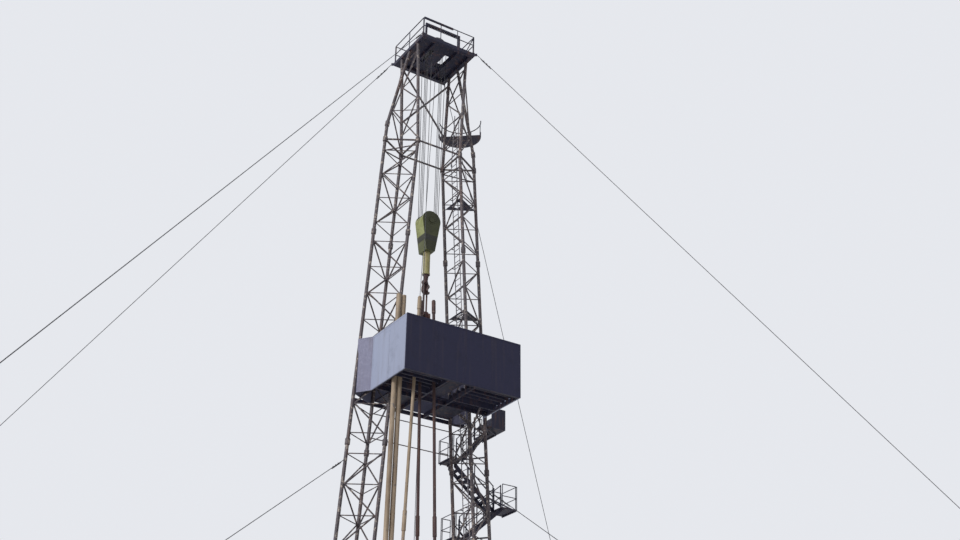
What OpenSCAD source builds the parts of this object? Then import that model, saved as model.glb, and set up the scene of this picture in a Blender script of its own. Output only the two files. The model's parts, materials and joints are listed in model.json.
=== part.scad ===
/* [Mast] */
// Height of the drill floor above the ground
floor_h = 3200; // [3000:50:3400]
// Height of the lowest mast section, from the drill floor to its joint
foot_section_h = 1650; // [1550:10:1750]
// Height of one full mast section between two joints
section_h = 5000; // [4950:10:5050]
// Height of the tie frame above the top section joint
tie_frame_rise = 2510; // [2450:10:2600]
// Height from the tie frame to the underside of the crown platform
crown_rise = 2750; // [2650:10:2850]
// Height of the bend in the outer chords above the tie frame
bend_rise = 440; // [380:10:500]
// Half gap between the legs at the tie frame, to the chord centre
tie_gap = 573; // [560:1:600]
// Inward lean of the legs in mm for each mm of height
leg_lean = 0.062; // [0.058:0.001:0.066]
// Half gap between the inner chords at the crown
crown_gap = 682; // [670:1:688]
// Half spacing of the outer chords at the crown
crown_outer = 684; // [670:1:688]
// Width of a leg from its inner chords to its outer chord
leg_w = 650; // [620:5:680]
// Depth of a leg between its front and back chords
leg_d = 780; // [760:5:800]
// Radius of the leg chords
chord_r = 38; // [35:1:42]
// Radius of the bolted collars on the chords
collar_r = 54; // [50:1:60]
// Height of the bolted collars on the chords
collar_h = 130; // [100:5:160]
// Radius of the diagonal braces
brace_r = 17; // [14:1:19]
// Radius of the light horizontal struts
strut_r = 12; // [10:1:14]
// Radius of the tie frame and portal braces
tie_r = 24; // [20:1:28]
// Height between two bracing nodes
panel_h = 650; // [640:5:655]
// Distance from a section joint to the nearest bracing node
joint_margin = 250; // [200:5:255]

/* [Crown] */
// Half width of the crown platform along X
crown_half_w = 730; // [726:1:760]
// Half depth of the crown platform along Y
crown_half_d = 720; // [700:5:760]
// Thickness of the crown platform with its edge beams
crown_t = 90; // [70:5:110]
// Height of the crown railing above the platform
crown_rail_h = 505; // [450:5:550]
// Radius of the railing tubes
rail_r = 12; // [9:1:14]
// Number of sheaves on the crown shaft
crown_sheaves_n = 5; // [5:1:5]
// Distance between two sheaves on one shaft
sheave_pitch = 62; // [58:1:64]
// Distance of the outermost crown sheaves from the middle one
outer_sheave_y = 230; // [225:1:240]
// Width of one sheave
sheave_t = 46; // [40:1:50]
// Outer radius of the sheaves
sheave_r = 222; // [216:1:224]
// Depth of the rope groove in the sheaves
groove_depth = 24; // [20:1:28]
// Radius of the sheave shafts
shaft_r = 30; // [26:1:36]
// Radius of the hoisting rope
rope_r = 7; // [6:1:8]

/* [Travelling block] */
// Height of the top of the travelling block when parked
block_top = 15740; // [15700:5:15900]
// Height of the travelling block
block_h = 1010; // [980:5:1050]
// Half width of the travelling block along X
block_half_w = 235; // [232:1:240]
// Depth of the travelling block along Y
block_d = 340; // [330:2:360]
// Half width of the block at its lower end
block_foot_half_w = 112; // [100:1:125]
// Length of the barrel between the block and the hook
barrel_l = 540; // [500:5:580]
// Radius of the barrel
barrel_r = 80; // [70:1:90]
// Turn of the hook and its links about the vertical
hook_turn = 45; // [0:5:90]
// Thickness of the hook at its bowl
hook_t = 150; // [130:5:160]
// Outer radius of the hook's bowl
hook_r = 88; // [80:1:92]
// Radius of the hook's throat
throat_r = 40; // [36:1:44]
// Length of the elevator links from eye to eye
link_l = 800; // [760:5:840]
// Radius of the bar of the links
link_r = 19; // [14:1:20]
// Bore radius of the pipe elevator
elevator_bore_r = 44; // [40:1:48]

/* [Racking board] */
// Length of a pipe stand that reaches above the racking board's underside
stand_over = 1935; // [1895:5:1975]
// Half width of the racking board over its side walls
board_half_w = 1390; // [1360:5:1420]
// Distance from the well centre to the board's front wall
board_front = 1720; // [1680:5:1760]
// Distance from the well centre to the rear end of the side walls
board_side_end = 305; // [280:5:330]
// Height of the wind walls
wall_h = 1220; // [1160:5:1280]
// Thickness of the wind walls
wall_t = 20; // [14:1:24]
// Depth of the board's beams
board_beam_h = 80; // [60:2:100]
// Thickness of the board's floor plates
board_plate_t = 30; // [20:1:36]
// Distance between two racking fingers
finger_pitch = 160; // [150:1:165]
// Side length of a finger tube
finger_w = 40; // [30:1:44]
// Height of the racking fingers
finger_h = 95; // [60:5:120]

/* [Pipe] */
// Radius of the drill pipe
pipe_r = 32; // [28:1:34]
// Radius of the tool joints at the pipe ends
tool_joint_r = 42; // [38:1:44]
// Radius of the thick drill collars
collar_pipe_r = 50; // [46:1:52]
// Length of a stand of two joined pipes
stand_l = 9675; // [9600:5:9750]

/* [Ladder and stair] */
// Distance between two ladder rungs
rung_pitch = 150; // [140:1:160]
// Width of the ladder
ladder_w = 220; // [200:2:240]
// Width of one stair flight over its stringers
stair_w = 250; // [240:5:270]
// Gap between the upward and the downward flights
flight_gap = 50; // [46:1:60]
// Thickness of the stair stringers
stringer_t = 15; // [12:1:18]
// Distance from the well plane to the near side of the mast stair
stair_y = 460; // [450:5:480]
// Largest rise of a stair tread
tread_rise = 105; // [100:1:115]
// Height of the stair railings
stair_rail_h = 525; // [500:5:560]

/* [Substructure] */
// Half width of the drill floor along X
floor_half_w = 2450; // [2420:10:2500]
// Distance from the well centre to the floor's front edge
floor_front = 2100; // [2060:10:2200]
// Distance from the well centre to the floor's rear edge
floor_back = 2300; // [2250:10:2400]
// Thickness of the drill floor plates
floor_t = 60; // [50:2:80]
// Width of one substructure box
box_w = 1000; // [960:10:1040]
// Depth of the substructure's main beams
main_beam_h = 220; // [200:5:240]
// Width of the substructure's main beams
main_beam_w = 140; // [120:5:160]
// Bore radius of the rotary table
rotary_bore_r = 160; // [140:2:170]

/* [Guy lines] */
// Distance of the crown guy anchors from the well along X
crown_anchor_x = 14500; // [14300:10:14700]
// Distance of the crown guy anchors from the well along Y
crown_anchor_y = 10700; // [10500:10:10900]
// Distance of the lower guy anchors from the well along X
lower_anchor_x = 12500; // [12300:10:12700]
// Distance of the lower guy anchors from the well along Y
lower_anchor_y = 6750; // [6600:10:6900]
// Distance of the lower guys below the second section joint of the outer chords
lower_guy_drop = 370; // [330:10:450]
// Radius of the guy ropes
guy_r = 8; // [6:1:9]
// Side length of an anchor block
anchor_w = 500; // [450:5:550]
// Height of an anchor block
anchor_h = 300; // [260:5:340]

/* [Hidden] */

joint_1 = floor_h + foot_section_h;
joint_2 = joint_1 + section_h;
joint_3 = joint_2 + section_h;
tie_z = joint_3 + tie_frame_rise;
bend_z = tie_z + bend_rise;
crown_z = tie_z + crown_rise;
joint_levels = [joint_1, joint_2, joint_3];
board_z = floor_h + stand_l - stand_over;
lower_guy_z = joint_2 - lower_guy_drop;
chord_sides = 8;
chord_flat = chord_r * cos(180 / chord_sides);
node_inset = chord_r + 8;
bar_reach = 14;
shoe_h = 120;
shoe_w = 240;

crown_top = crown_z + crown_t;
sheave_axis_z = crown_top + 240;
rope_x = sheave_r - groove_depth + rope_r;
block_axis_z = block_top - block_half_w;
block_sheaves_n = crown_sheaves_n - 1;
block_bottom = block_top - block_h;
hook_top = block_bottom - barrel_l;
running_gap = 0.3;

board_beam_top = board_z + board_beam_h;
board_top = board_beam_top + board_plate_t;
wall_top = board_z + wall_h;
board_in = board_half_w - wall_t;
board_front_in = board_front - wall_t;
well_half_w = 300;
well_beam_w = 40;
well_front = 390;
cross_beam_w = 40;
cross_beam_y = leg_d / 2 + chord_flat + 0.1;
finger_y0 = 620;
finger_rows = 6;
finger_end = finger_y0 + (finger_rows - 1) * finger_pitch + finger_w;
finger_end_gap = 40;
knee_y = -finger_y0 - finger_pitch - finger_w / 2;
walk_y = finger_y0 - 60;

basket_z = tie_z + 955;
basket_shift = 60;
landing_t = 25;

function gap_at(z) = z <= tie_z
  ? tie_gap + leg_lean * (tie_z - z)
  : tie_gap + (crown_gap - tie_gap) * (z - tie_z) / crown_rise;
function outer_at(z) = z <= bend_z
  ? tie_gap + leg_w + leg_lean * (tie_z - z)
  : let (bend_x = tie_gap + leg_w - leg_lean * bend_rise)
    bend_x + (crown_outer - bend_x) * (z - bend_z) / (crown_rise - bend_rise);
function chord_at(side, c, z) =
  c == "outer" ? [side * outer_at(z), 0, z]
  : [side * gap_at(z), (c == "front" ? -1 : 1) * leg_d / 2, z];
function toward(a, b, d) = a + (b - a) * d / norm(b - a);
function node_at(side, c, other, z) =
  toward(chord_at(side, c, z), chord_at(side, other, z), node_inset);

// Straight bar between two points, with both ends lengthened by reach
module bar(a, b, r, reach = 0, sides = 6) {
  v = b - a;
  l = norm(v);
  translate(a - v / l * reach)
    rotate([0, acos(v.z / l), atan2(v.y, v.x)])
      cylinder(h = l + 2 * reach, r = r, $fn = sides);
}

// Chord length with its flat sides facing along Y
module chord_bar(a, b, r, reach = 0) {
  v = b - a;
  l = norm(v);
  translate(a - v / l * reach)
    rotate([0, acos(v.z / l), atan2(v.y, v.x)])
      rotate([0, 0, 180 / chord_sides])
        cylinder(h = l + 2 * reach, r = r, $fn = chord_sides);
}

// Collar around a chord at a height
module collar(side, c, z) {
  chord_bar(chord_at(side, c, z - collar_h / 2), chord_at(side, c, z + collar_h / 2), collar_r);
}

// One leg chord from the drill floor to the crown, with its shoe and collars
module chord(side, c) {
  turn_z = c == "outer" ? bend_z : tie_z;
  foot = chord_at(side, c, floor_h);
  intersection() {
    union() {
      chord_bar(foot, chord_at(side, c, turn_z), chord_r, reach = 10);
      chord_bar(chord_at(side, c, turn_z), chord_at(side, c, crown_z), chord_r, reach = 10);
      for (z = joint_levels) collar(side, c, z);
      collar(side, c, tie_z);
      if (c == "outer") collar(side, c, bend_z);
      translate([foot.x - shoe_w / 2, foot.y - shoe_w / 2, floor_h])
        cube([shoe_w, shoe_w, 30]);
      for (s = [-1, 1])
        translate([foot.x - shoe_w / 2 + 20, foot.y + s * 55 - 8, floor_h])
          cube([shoe_w - 40, 16, shoe_h]);
    }
    translate([-4000, -4000, floor_h]) cube([8000, 8000, crown_z - floor_h]);
  }
}

module left_outer_chord() { color("dimgray") chord(-1, "outer"); }
module left_front_chord() { color("dimgray") chord(-1, "front"); }
module left_back_chord() { color("dimgray") chord(-1, "back"); }
module right_outer_chord() { color("dimgray") chord(1, "outer"); }
module right_front_chord() { color("dimgray") chord(1, "front"); }
module right_back_chord() { color("dimgray") chord(1, "back"); }

// Heights of the bracing nodes of one section, from its top down
function section_nodes(top, bottom) =
  [for (z = [top - joint_margin : -panel_h : bottom + joint_margin / 2]) z];
// Nodes of the short section between the top joint and the tie frame, from the top down
function head_nodes() =
  [for (i = [3 : -1 : 0]) joint_3 + joint_margin + i * panel_h];
function bracing_sections() = [
  [head_nodes(), 1],
  [section_nodes(joint_3, joint_2), 0],
  [section_nodes(joint_2, joint_1), 1],
  [section_nodes(joint_1, floor_h - joint_margin), 0]
];
// Nodes of the tapering head above the tie frame
head_top = crown_z - 310;
head_mid = tie_z + 840;

// Zigzag braces and horizontal struts of one section, between chords a and b
module section_bracing(side, a, b, zs, first) {
  for (i = [0 : len(zs) - 1]) {
    bar(node_at(side, a, b, zs[i]), node_at(side, b, a, zs[i]), strut_r, bar_reach);
    if (i < len(zs) - 1) {
      from_a = (i + first) % 2 == 0;
      p = from_a ? node_at(side, a, b, zs[i]) : node_at(side, b, a, zs[i]);
      q = from_a ? node_at(side, b, a, zs[i + 1]) : node_at(side, a, b, zs[i + 1]);
      bar(p, q, brace_r, bar_reach);
    }
  }
}

// Bars between an outer chord and an inner one above the tie frame
module head_bracing(side, a, b) {
  bar(node_at(side, b, a, head_top), node_at(side, a, b, head_mid), brace_r, bar_reach);
  bar(node_at(side, a, b, head_mid), node_at(side, b, a, tie_z + 130), brace_r, bar_reach);
  bar(node_at(side, a, b, head_mid), node_at(side, b, a, head_mid), strut_r, bar_reach);
}

// All bracing of one flat side of a leg, cut to the faces of its chords
module leg_side(side, a, b) {
  color("slategray") difference() {
    union() {
      for (s = bracing_sections()) section_bracing(side, a, b, s[0], s[1]);
      bar(node_at(side, a, b, head_nodes()[0]), node_at(side, b, a, tie_z - 140), brace_r, bar_reach);
      if (a == "outer") head_bracing(side, a, b);
      else {
        zs = [for (i = [0 : 3]) head_top + 120 - i * (head_top - tie_z) / 3.6];
        section_bracing(side, a, b, zs, 0);
      }
    }
    chord(side, a);
    chord(side, b);
  }
}

module left_front_bracing() { leg_side(-1, "outer", "front"); }
module left_back_bracing() { leg_side(-1, "outer", "back"); }
module left_inner_bracing() { leg_side(-1, "front", "back"); }
module right_front_bracing() { leg_side(1, "outer", "front"); }
module right_back_bracing() { leg_side(1, "outer", "back"); }
module right_inner_bracing() { leg_side(1, "front", "back"); }

// Heavy triangular frame round each leg at the level of the cross ties
module tie_frame() {
  color("slategray") difference() {
    for (side = [-1, 1])
      for (pair = [["outer", "front"], ["outer", "back"], ["front", "back"]])
        bar(chord_at(side, pair[0], tie_z), chord_at(side, pair[1], tie_z), tie_r);
    for (side = [-1, 1])
      for (c = ["outer", "front", "back"]) chord(side, c);
  }
}

// Cross ties between the legs and the crossed braces of the back plane
module portal_bracing() {
  low = head_mid + 60;
  color("slategray") difference() {
    union() {
      for (c = ["front", "back"])
        bar(chord_at(-1, c, tie_z), chord_at(1, c, tie_z), tie_r);
      bar(chord_at(-1, "back", low), chord_at(1, "back", head_top + 60), tie_r);
      bar(chord_at(1, "back", low), chord_at(-1, "back", head_top + 60), tie_r);
      for (z = [board_z - 190, board_z - 740])
        bar(chord_at(-1, "back", z), chord_at(1, "back", z), strut_r);
    }
    for (side = [-1, 1])
      for (c = ["front", "back"]) chord(side, c);
  }
}

rest_levels = [joint_3 + 1390, joint_3 - 1450, joint_2 - 2130];
rest_t = 20;
rest_inset = brace_r + 3;
rest_side = 60;
rest_tip = 70;
rest_tip_w = 36;
hatch_x = 55;
hatch_w = 170;
hatch_side = 30;

// Triangular rest plate inside a leg, held to the three chords by short arms
module rest_plate(side, z) {
  g = gap_at(z);
  mid = [side * (g + leg_w / 3), 0, z + rest_t / 2];
  difference() {
    union() {
      translate([0, 0, z]) linear_extrude(rest_t)
        intersection() {
          polygon([[side * g, -leg_d / 2], [side * g, leg_d / 2], [side * (g + leg_w), 0]]);
          translate([side * (g + rest_inset + leg_w / 2), 0])
            square([leg_w, leg_d - 2 * rest_side], center = true);
          polygon([
              [side * (g + rest_inset), -leg_d / 2 + rest_side],
              [side * (g + rest_inset), leg_d / 2 - rest_side],
              [side * (g + leg_w - rest_tip), rest_tip_w / 2],
              [side * (g + leg_w - rest_tip), -rest_tip_w / 2]
            ]);
        }
      for (c = ["outer", "front", "back"])
        bar(chord_at(side, c, z + rest_t / 2), mid, rest_t / 2, sides = 4);
    }
    translate([side * (g + hatch_x + hatch_w / 2) - hatch_w / 2, -ladder_w / 2 - hatch_side, z - rest_t])
      cube([hatch_w, ladder_w + 2 * hatch_side, 3 * rest_t]);
    for (c = ["outer", "front", "back"]) chord(side, c);
  }
}

module leg_rest_plates() {
  color("dimgray") for (z = rest_levels) rest_plate(1, z);
}

ladder_off = 80;
ladder_side = 24;
function ladder_at(y, z) = [gap_at(z) + ladder_off, y, z];

// Ladder inside the right leg, bracketed to the horizontal struts
module leg_ladder() {
  top = basket_z + 500;
  color("gray") union() {
    for (y = [-ladder_w / 2, ladder_w / 2]) {
      bar(ladder_at(y, floor_h + 4), ladder_at(y, tie_z + 10), ladder_side / 2, sides = 4);
      bar(ladder_at(y, tie_z - 10), ladder_at(y, top), ladder_side / 2, sides = 4);
      translate(ladder_at(y, tie_z) - [15, 15, 25]) cube([30, 30, 50]);
      translate(ladder_at(y, floor_h) - [20, 15, 0]) cube([40, 30, 12]);
    }
    for (z = [floor_h + 150 : rung_pitch : top - 40])
      bar(ladder_at(-ladder_w / 2, z), ladder_at(ladder_w / 2, z), 8);
    for (s = bracing_sections())
      for (z = s[0])
        for (y = [-ladder_w / 2, ladder_w / 2])
          translate([gap_at(z) + strut_r * cos(30) + 0.6, y - 8, z - 8])
            cube([ladder_off - strut_r * cos(30) - 0.6, 16, 16]);
  }
}

lug_w = 60;
lug_t = 20;
bearing_y = outer_sheave_y + sheave_t / 2 + 22;

edge_w = 100;
deck_t = 22;
rope_slot_in = 150;
rope_slot_out = 275;

// Crown platform: plate on edge beams and two cross beams, with two slots for the ropes
module crown_platform() {
  beam_h = crown_t - deck_t;
  slot_d = 2 * bearing_y - 10;
  bay_d = 2 * (crown_half_d - edge_w);
  color("midnightblue") {
    difference() {
      translate([-crown_half_w, -crown_half_d, crown_z])
        cube([2 * crown_half_w, 2 * crown_half_d, crown_t]);
      for (s = [-1, 1]) {
        bay_w = crown_half_w - edge_w - 350;
        translate([s * (350 + bay_w / 2) - bay_w / 2, -bay_d / 2, crown_z - 1])
          cube([bay_w, bay_d, beam_h + 1]);
        slot_w = rope_slot_out - rope_slot_in;
        translate([s * (rope_slot_in + slot_w / 2) - slot_w / 2, -slot_d / 2, crown_z])
          cube([slot_w, slot_d, crown_t + 2]);
      }
      translate([-310, -bay_d / 2, crown_z - 1]) cube([620, bay_d, beam_h + 1]);
    }
    for (sx = [-1, 1])
      for (sy = [-1, 1])
        translate([sx * crown_half_w, sy * crown_half_d, crown_z + 12])
          rotate([0, 0, atan2(sy * crown_anchor_y, sx * crown_anchor_x)])
            translate([-40, -lug_t / 2, 0]) cube([40 + lug_w, lug_t, crown_t - 24]);
  }
}

// Straight railing of tubes from a to b in plan, with a post at each end of every bay
module fence(a, b, bays, z0, h, r) {
  for (i = [0 : bays]) {
    p = a + (b - a) * i / bays;
    bar([p.x, p.y, z0], [p.x, p.y, z0 + h], r);
  }
  for (f = [0.5, 1]) bar([a.x, a.y, z0 + h * f], [b.x, b.y, z0 + h * f], r);
}

// Distance of a railing's last post from the line of the next railing round a corner
corner_gap = 30;

// Four railings round the crown platform, with a brace and a deeper top band at the front
module crown_railing() {
  x = crown_half_w - 20;
  y = crown_half_d - 20;
  h = crown_rail_h - rail_r;
  color("navy") {
    fence([-x, -y], [x, -y], 3, crown_top, h, rail_r);
    fence([x, -y + corner_gap], [x, y - corner_gap], 2, crown_top, h, rail_r);
    fence([-x, y], [x, y], 2, crown_top, h, rail_r);
    fence([-x, -y + corner_gap], [-x, y - corner_gap], 2, crown_top, h, rail_r);
    bar([x, -y, crown_top + h], [x - 200, -y, crown_top + rail_r], rail_r);
    translate([-x, -y - 14, crown_top + crown_rail_h - 50]) cube([x * 1.15, 28, 50]);
  }
}

bearing_t = 50;
portal_half_w = 470;
portal_y = -390;
portal_h = 625;
crown_beam_h = 100;

// Beams, bearings and shaft that carry the crown sheaves
module crown_block_frame() {
  color("darkslategray") {
    for (s = [-1, 1]) {
      translate([-crown_half_w + 60, s * (bearing_y + bearing_t / 2) - 40, crown_top])
        cube([2 * crown_half_w - 120, 80, crown_beam_h]);
      translate([0, s * (bearing_y + bearing_t / 2), 0]) rotate([90, 0, 0])
        translate([0, 0, -bearing_t / 2]) linear_extrude(bearing_t)
          polygon([
            [-130, crown_top + crown_beam_h - 5], [130, crown_top + crown_beam_h - 5],
            [60, sheave_axis_z + 55], [-60, sheave_axis_z + 55]
          ]);
    }
    translate([0, bearing_y + bearing_t / 2, sheave_axis_z]) rotate([90, 0, 0])
      cylinder(h = 2 * bearing_y + bearing_t, r = shaft_r, $fn = 48);
    for (s = [-1, 1])
      translate([s * portal_half_w - 20, portal_y - 20, crown_top]) cube([40, 40, portal_h]);
    translate([-portal_half_w - 20, portal_y - 20, crown_top + portal_h - 60])
      cube([2 * portal_half_w + 40, 40, 60]);
  }
}

// Grooved sheave turned about Y, with spokes cut by round holes
module sheave(y) {
  groove_r = sheave_r - groove_depth;
  translate([0, y, 0]) rotate([90, 0, 0]) difference() {
    rotate_extrude($fn = 64)
      polygon([
        [shaft_r + running_gap, -sheave_t / 2], [70, -sheave_t / 2], [80, -sheave_t / 2 + 12],
        [150, -sheave_t / 2 + 12], [165, -sheave_t / 2], [sheave_r, -sheave_t / 2],
        [groove_r, -rope_r - 1], [groove_r, rope_r + 1], [sheave_r, sheave_t / 2],
        [165, sheave_t / 2], [150, sheave_t / 2 - 12], [80, sheave_t / 2 - 12],
        [70, sheave_t / 2], [shaft_r + running_gap, sheave_t / 2]
      ]);
    for (a = [0 : 60 : 300])
      rotate([0, 0, a]) translate([115, 0, -sheave_t]) cylinder(h = 2 * sheave_t, r = 24, $fn = 24);
  }
}

// Place of crown sheave i: the first and last carry the dead line and the fast line
function crown_sheave_y(i) = i == 0 ? -outer_sheave_y
  : i == crown_sheaves_n - 1 ? outer_sheave_y
  : (i - (crown_sheaves_n - 1) / 2) * sheave_pitch;
function block_sheave_y(i) = (i - (block_sheaves_n - 1) / 2) * sheave_pitch;

module crown_sheaves() {
  color("gray")
    for (i = [0 : crown_sheaves_n - 1])
      translate([0, 0, sheave_axis_z]) sheave(crown_sheave_y(i));
}

basket_r = 520;
basket_t = 25;
basket_band = 110;

// Half-round rest basket outside the back of the right leg, under the crown
module crown_basket() {
  d = chord_at(1, "back", basket_z);
  f = chord_at(1, "outer", basket_z);
  turn = atan2(f.y - d.y, f.x - d.x);
  mid = (d + f) / 2;
  color("midnightblue") difference() {
    translate([mid.x, mid.y, basket_z]) rotate([0, 0, turn]) translate([basket_shift, 0, 0])
      intersection() {
        union() {
          cylinder(h = basket_t, r = basket_r, $fn = 64);
          difference() {
            cylinder(h = basket_band, r = basket_r, $fn = 64);
            translate([0, 0, -1]) cylinder(h = basket_band + 2, r = basket_r - 12, $fn = 64);
          }
          for (a = [20, 65, 115, 160])
            translate([(basket_r - 12) * cos(a), (basket_r - 12) * sin(a), 0])
              cylinder(h = 440, r = rail_r - 2, $fn = 6);
          translate([0, 0, 430]) rotate_extrude($fn = 64)
            translate([basket_r - 12, 0]) circle(r = rail_r, $fn = 8);
        }
        translate([-600, brace_r + 2, -10]) cube([1200, 600, 500]);
      }
    chord(1, "back");
    chord(1, "outer");
    head_bracing(1, "outer", "back");
  }
}

// Flat panel over a leg side or wall: bottom edge a0 to b0, top edge a1 to b1
module panel(a0, b0, a1, b1, t, off = 0) {
  u = b0 - a0;
  turn = atan2(u.y, u.x);
  s = a1 - a0;
  s_u = s.x * cos(turn) + s.y * sin(turn);
  s_n = -s.x * sin(turn) + s.y * cos(turn);
  l = norm([s_n, s.z]);
  translate(a0) rotate([atan2(s.z, s_n), 0, turn]) translate([0, 0, off])
    linear_extrude(t)
      polygon([[0, 0], [norm(u), 0], [s_u + norm(b1 - a1), l], [s_u, l]]);
}

// Beams that carry the racking board on the legs
module board_beams() {
  rear = cross_beam_y + cross_beam_w;
  reach = outer_at(board_z) + 20;
  color("midnightblue") translate([0, 0, board_z]) {
    for (s = [-1, 1])
      translate([-board_in, s * (cross_beam_y + cross_beam_w / 2) - cross_beam_w / 2, 0])
        cube([2 * board_in, cross_beam_w, board_beam_h]);
    for (s = [-1, 1]) {
      translate([s * (well_half_w + well_beam_w / 2) - well_beam_w / 2, -board_front_in, 0])
        cube([well_beam_w, board_front_in + rear, board_beam_h]);
      translate([s * (board_in - 15) - 15, -board_front_in, 0])
        cube([30, board_front_in - cross_beam_y, board_beam_h]);
    }
    translate([-board_in, -board_front_in, 0])
      cube([2 * board_in, 60, board_beam_h]);
    for (s = [-1, 1])
      translate([s * (well_half_w + board_in) / 2 - (board_in - well_half_w) / 2, knee_y - 25, 0])
        cube([board_in - well_half_w, 50, board_beam_h]);
  }
}

// Plan outline of a leg, grown so that its chords and braces pass freely
module leg_plan(side, z, grow) {
  g = gap_at(z);
  k = grow * 2.2;
  polygon([
    [side * (g - grow), -leg_d / 2 - grow], [side * (g + grow), -leg_d / 2 - grow],
    [side * (g + leg_w + k), -grow / 2], [side * (g + leg_w + k), grow / 2],
    [side * (g + grow), leg_d / 2 + grow], [side * (g - grow), leg_d / 2 + grow]
  ]);
}

// Floor plates of the racking board
module board_floor() {
  grow = chord_r + 8;
  color("dimgray") translate([0, 0, board_beam_top]) linear_extrude(board_plate_t) {
    translate([-board_in, -board_front_in])
      square([2 * board_in, board_front_in - finger_end - finger_end_gap]);
    difference() {
      union() {
        translate([-board_in, -walk_y]) square([2 * board_in, walk_y - board_side_end]);
        translate([-gap_at(board_z) + grow, -walk_y])
          square([2 * gap_at(board_z) - 2 * grow, walk_y + leg_d / 2 - 25]);
      }
      for (side = [-1, 1]) leg_plan(side, board_beam_top, grow);
      translate([-well_half_w - well_beam_w / 2, -well_front])
        square([2 * well_half_w + well_beam_w, well_front + leg_d / 2]);
    }
  }
}

// Rows of tubes between which the pipe stands lean
module racking_fingers() {
  color("dimgray")
    for (s = [-1, 1])
      for (i = [0 : finger_rows - 1])
        translate([s > 0 ? well_half_w : -board_in, -finger_y0 - i * finger_pitch - finger_w, board_beam_top])
          cube([board_in - well_half_w, finger_w, finger_h]);
}

module diving_board() {
  color("gray") translate([-150, -board_front_in + 60, board_top])
    cube([300, board_front_in - 60 - well_front, 24]);
}

rib_pitch = 195;
rib_d = 14;

// Upright sheet with stiffening ribs on its inner side, along +X from the origin
module ribbed_sheet(l, h) {
  cube([l, wall_t - rib_d + 2, h]);
  n = max(1, round(l / rib_pitch));
  for (i = [0 : n]) translate([i * (l - 24) / n, 0, 0]) cube([24, wall_t, h]);
  for (z = [0, h - 30]) translate([0, 0, z]) cube([l, wall_t, 30]);
}

module front_wind_wall() {
  color("midnightblue") translate([-board_half_w, -board_front, board_z])
    ribbed_sheet(2 * board_half_w, wall_h);
}

// Side wall between the front wall and the rear corner
module side_wind_wall(side) {
  l = board_front - wall_t - board_side_end;
  color("lightsteelblue") {
    if (side < 0)
      translate([-board_half_w, -board_side_end, board_z]) rotate([0, 0, -90])
        ribbed_sheet(l, wall_h);
    else
      translate([board_half_w, -board_front + wall_t, board_z]) rotate([0, 0, 90])
        ribbed_sheet(l, wall_h);
  }
}

module left_wind_wall() { side_wind_wall(-1); }
module right_wind_wall() { side_wind_wall(1); }

rear_t = 8;
rear_off = brace_r + 3;
gate_share = 0.48;
// Free edge of the panel over the right leg's back, beside the gate to the stair
function gate_at(z) =
  chord_at(1, "back", z) + (chord_at(1, "outer", z) - chord_at(1, "back", z)) * (1 - gate_share);

// Rear panels: from the side walls to the outer chords, over the leg backs and between the legs
module rear_wind_walls() {
  mid = (board_z + wall_top) / 2;
  xo = outer_at(mid) - 6;
  color("slategray") difference() {
    union() {
      for (side = [-1, 1])
        translate([0, 0, board_z]) linear_extrude(wall_h)
          polygon([
            [side * board_half_w, -board_side_end], [side * board_in, -board_side_end],
            [side * (xo + 4), -14], [side * (xo + 22), -10]
          ]);
      panel(chord_at(-1, "back", board_z), chord_at(-1, "outer", board_z),
            chord_at(-1, "back", wall_top), chord_at(-1, "outer", wall_top), rear_t, rear_off);
      panel(gate_at(board_z), chord_at(1, "back", board_z),
            gate_at(wall_top), chord_at(1, "back", wall_top), rear_t, rear_off);
      panel(chord_at(1, "back", board_beam_top), chord_at(-1, "back", board_beam_top),
            chord_at(1, "back", wall_top), chord_at(-1, "back", wall_top), rear_t, -4);
    }
    for (side = [-1, 1]) {
      chord(side, "outer");
      chord(side, "back");
    }
  }
}

// Struts from the front chords up to the knee beams of the board
module board_knee_braces() {
  color("rosybrown") difference() {
    for (side = [-1, 1])
      bar(chord_at(side, "front", board_z - 440),
          [side * gap_at(board_z - 440), knee_y, board_z + 40], brace_r + 4);
    translate([-2000, -2000, board_z]) cube([4000, 4000, 400]);
    for (side = [-1, 1]) chord(side, "front");
  }
}

landing_drop = 860;
landing_0 = board_z + 60;
landing_1 = landing_0 - 760;
landing_2 = landing_1 - 890;
landing_levels = concat(
  [landing_0, landing_1, landing_2],
  [for (i = [1 : 6]) landing_2 - i * landing_drop]
);
landings_n = len(landing_levels);
inner_off = 60;
outer_off = 1320;
inner_l = 250;
outer_l = 400;
stair_far = stair_y + 2 * stair_w + flight_gap;
landing_0_x = 1980;
landing_0_l = 260;
walkway_d = 330;
skirt_h = 450;
skirt_t = 8;
skirt_x = 1880;
bracket_r = 18;

function is_outer(i) = i % 2 == 0;
function landing_x0(i) = i == 0 ? landing_0_x
  : gap_at(landing_levels[i]) + (is_outer(i) ? outer_off : inner_off);
function landing_x1(i) =
  landing_x0(i) + (i == 0 ? landing_0_l : is_outer(i) ? outer_l : inner_l);
// Edge of landing i on the side of the flights
function landing_edge(i) = is_outer(i) ? landing_x0(i) : landing_x1(i);
function flight_foot_z(i) = i == landings_n - 1 ? floor_h : landing_levels[i + 1];
function flight_foot(i) = i == landings_n - 1 ? landing_edge(i) - 1000 : landing_edge(i + 1);
// Near side of the band that flight i runs in
function band_y(i) = is_outer(i) ? stair_y : stair_y + stair_w + flight_gap;

// Beam from a leg chord to the near edge of a landing and on under it
module bracket(c, z_chord, x, z) {
  near = [x, stair_y, z];
  bar(chord_at(1, c, z_chord), near, bracket_r, bracket_r / 2, sides = 4);
  bar(near, [x, stair_far - 20, z], bracket_r, bracket_r / 2, sides = 4);
}

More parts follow.
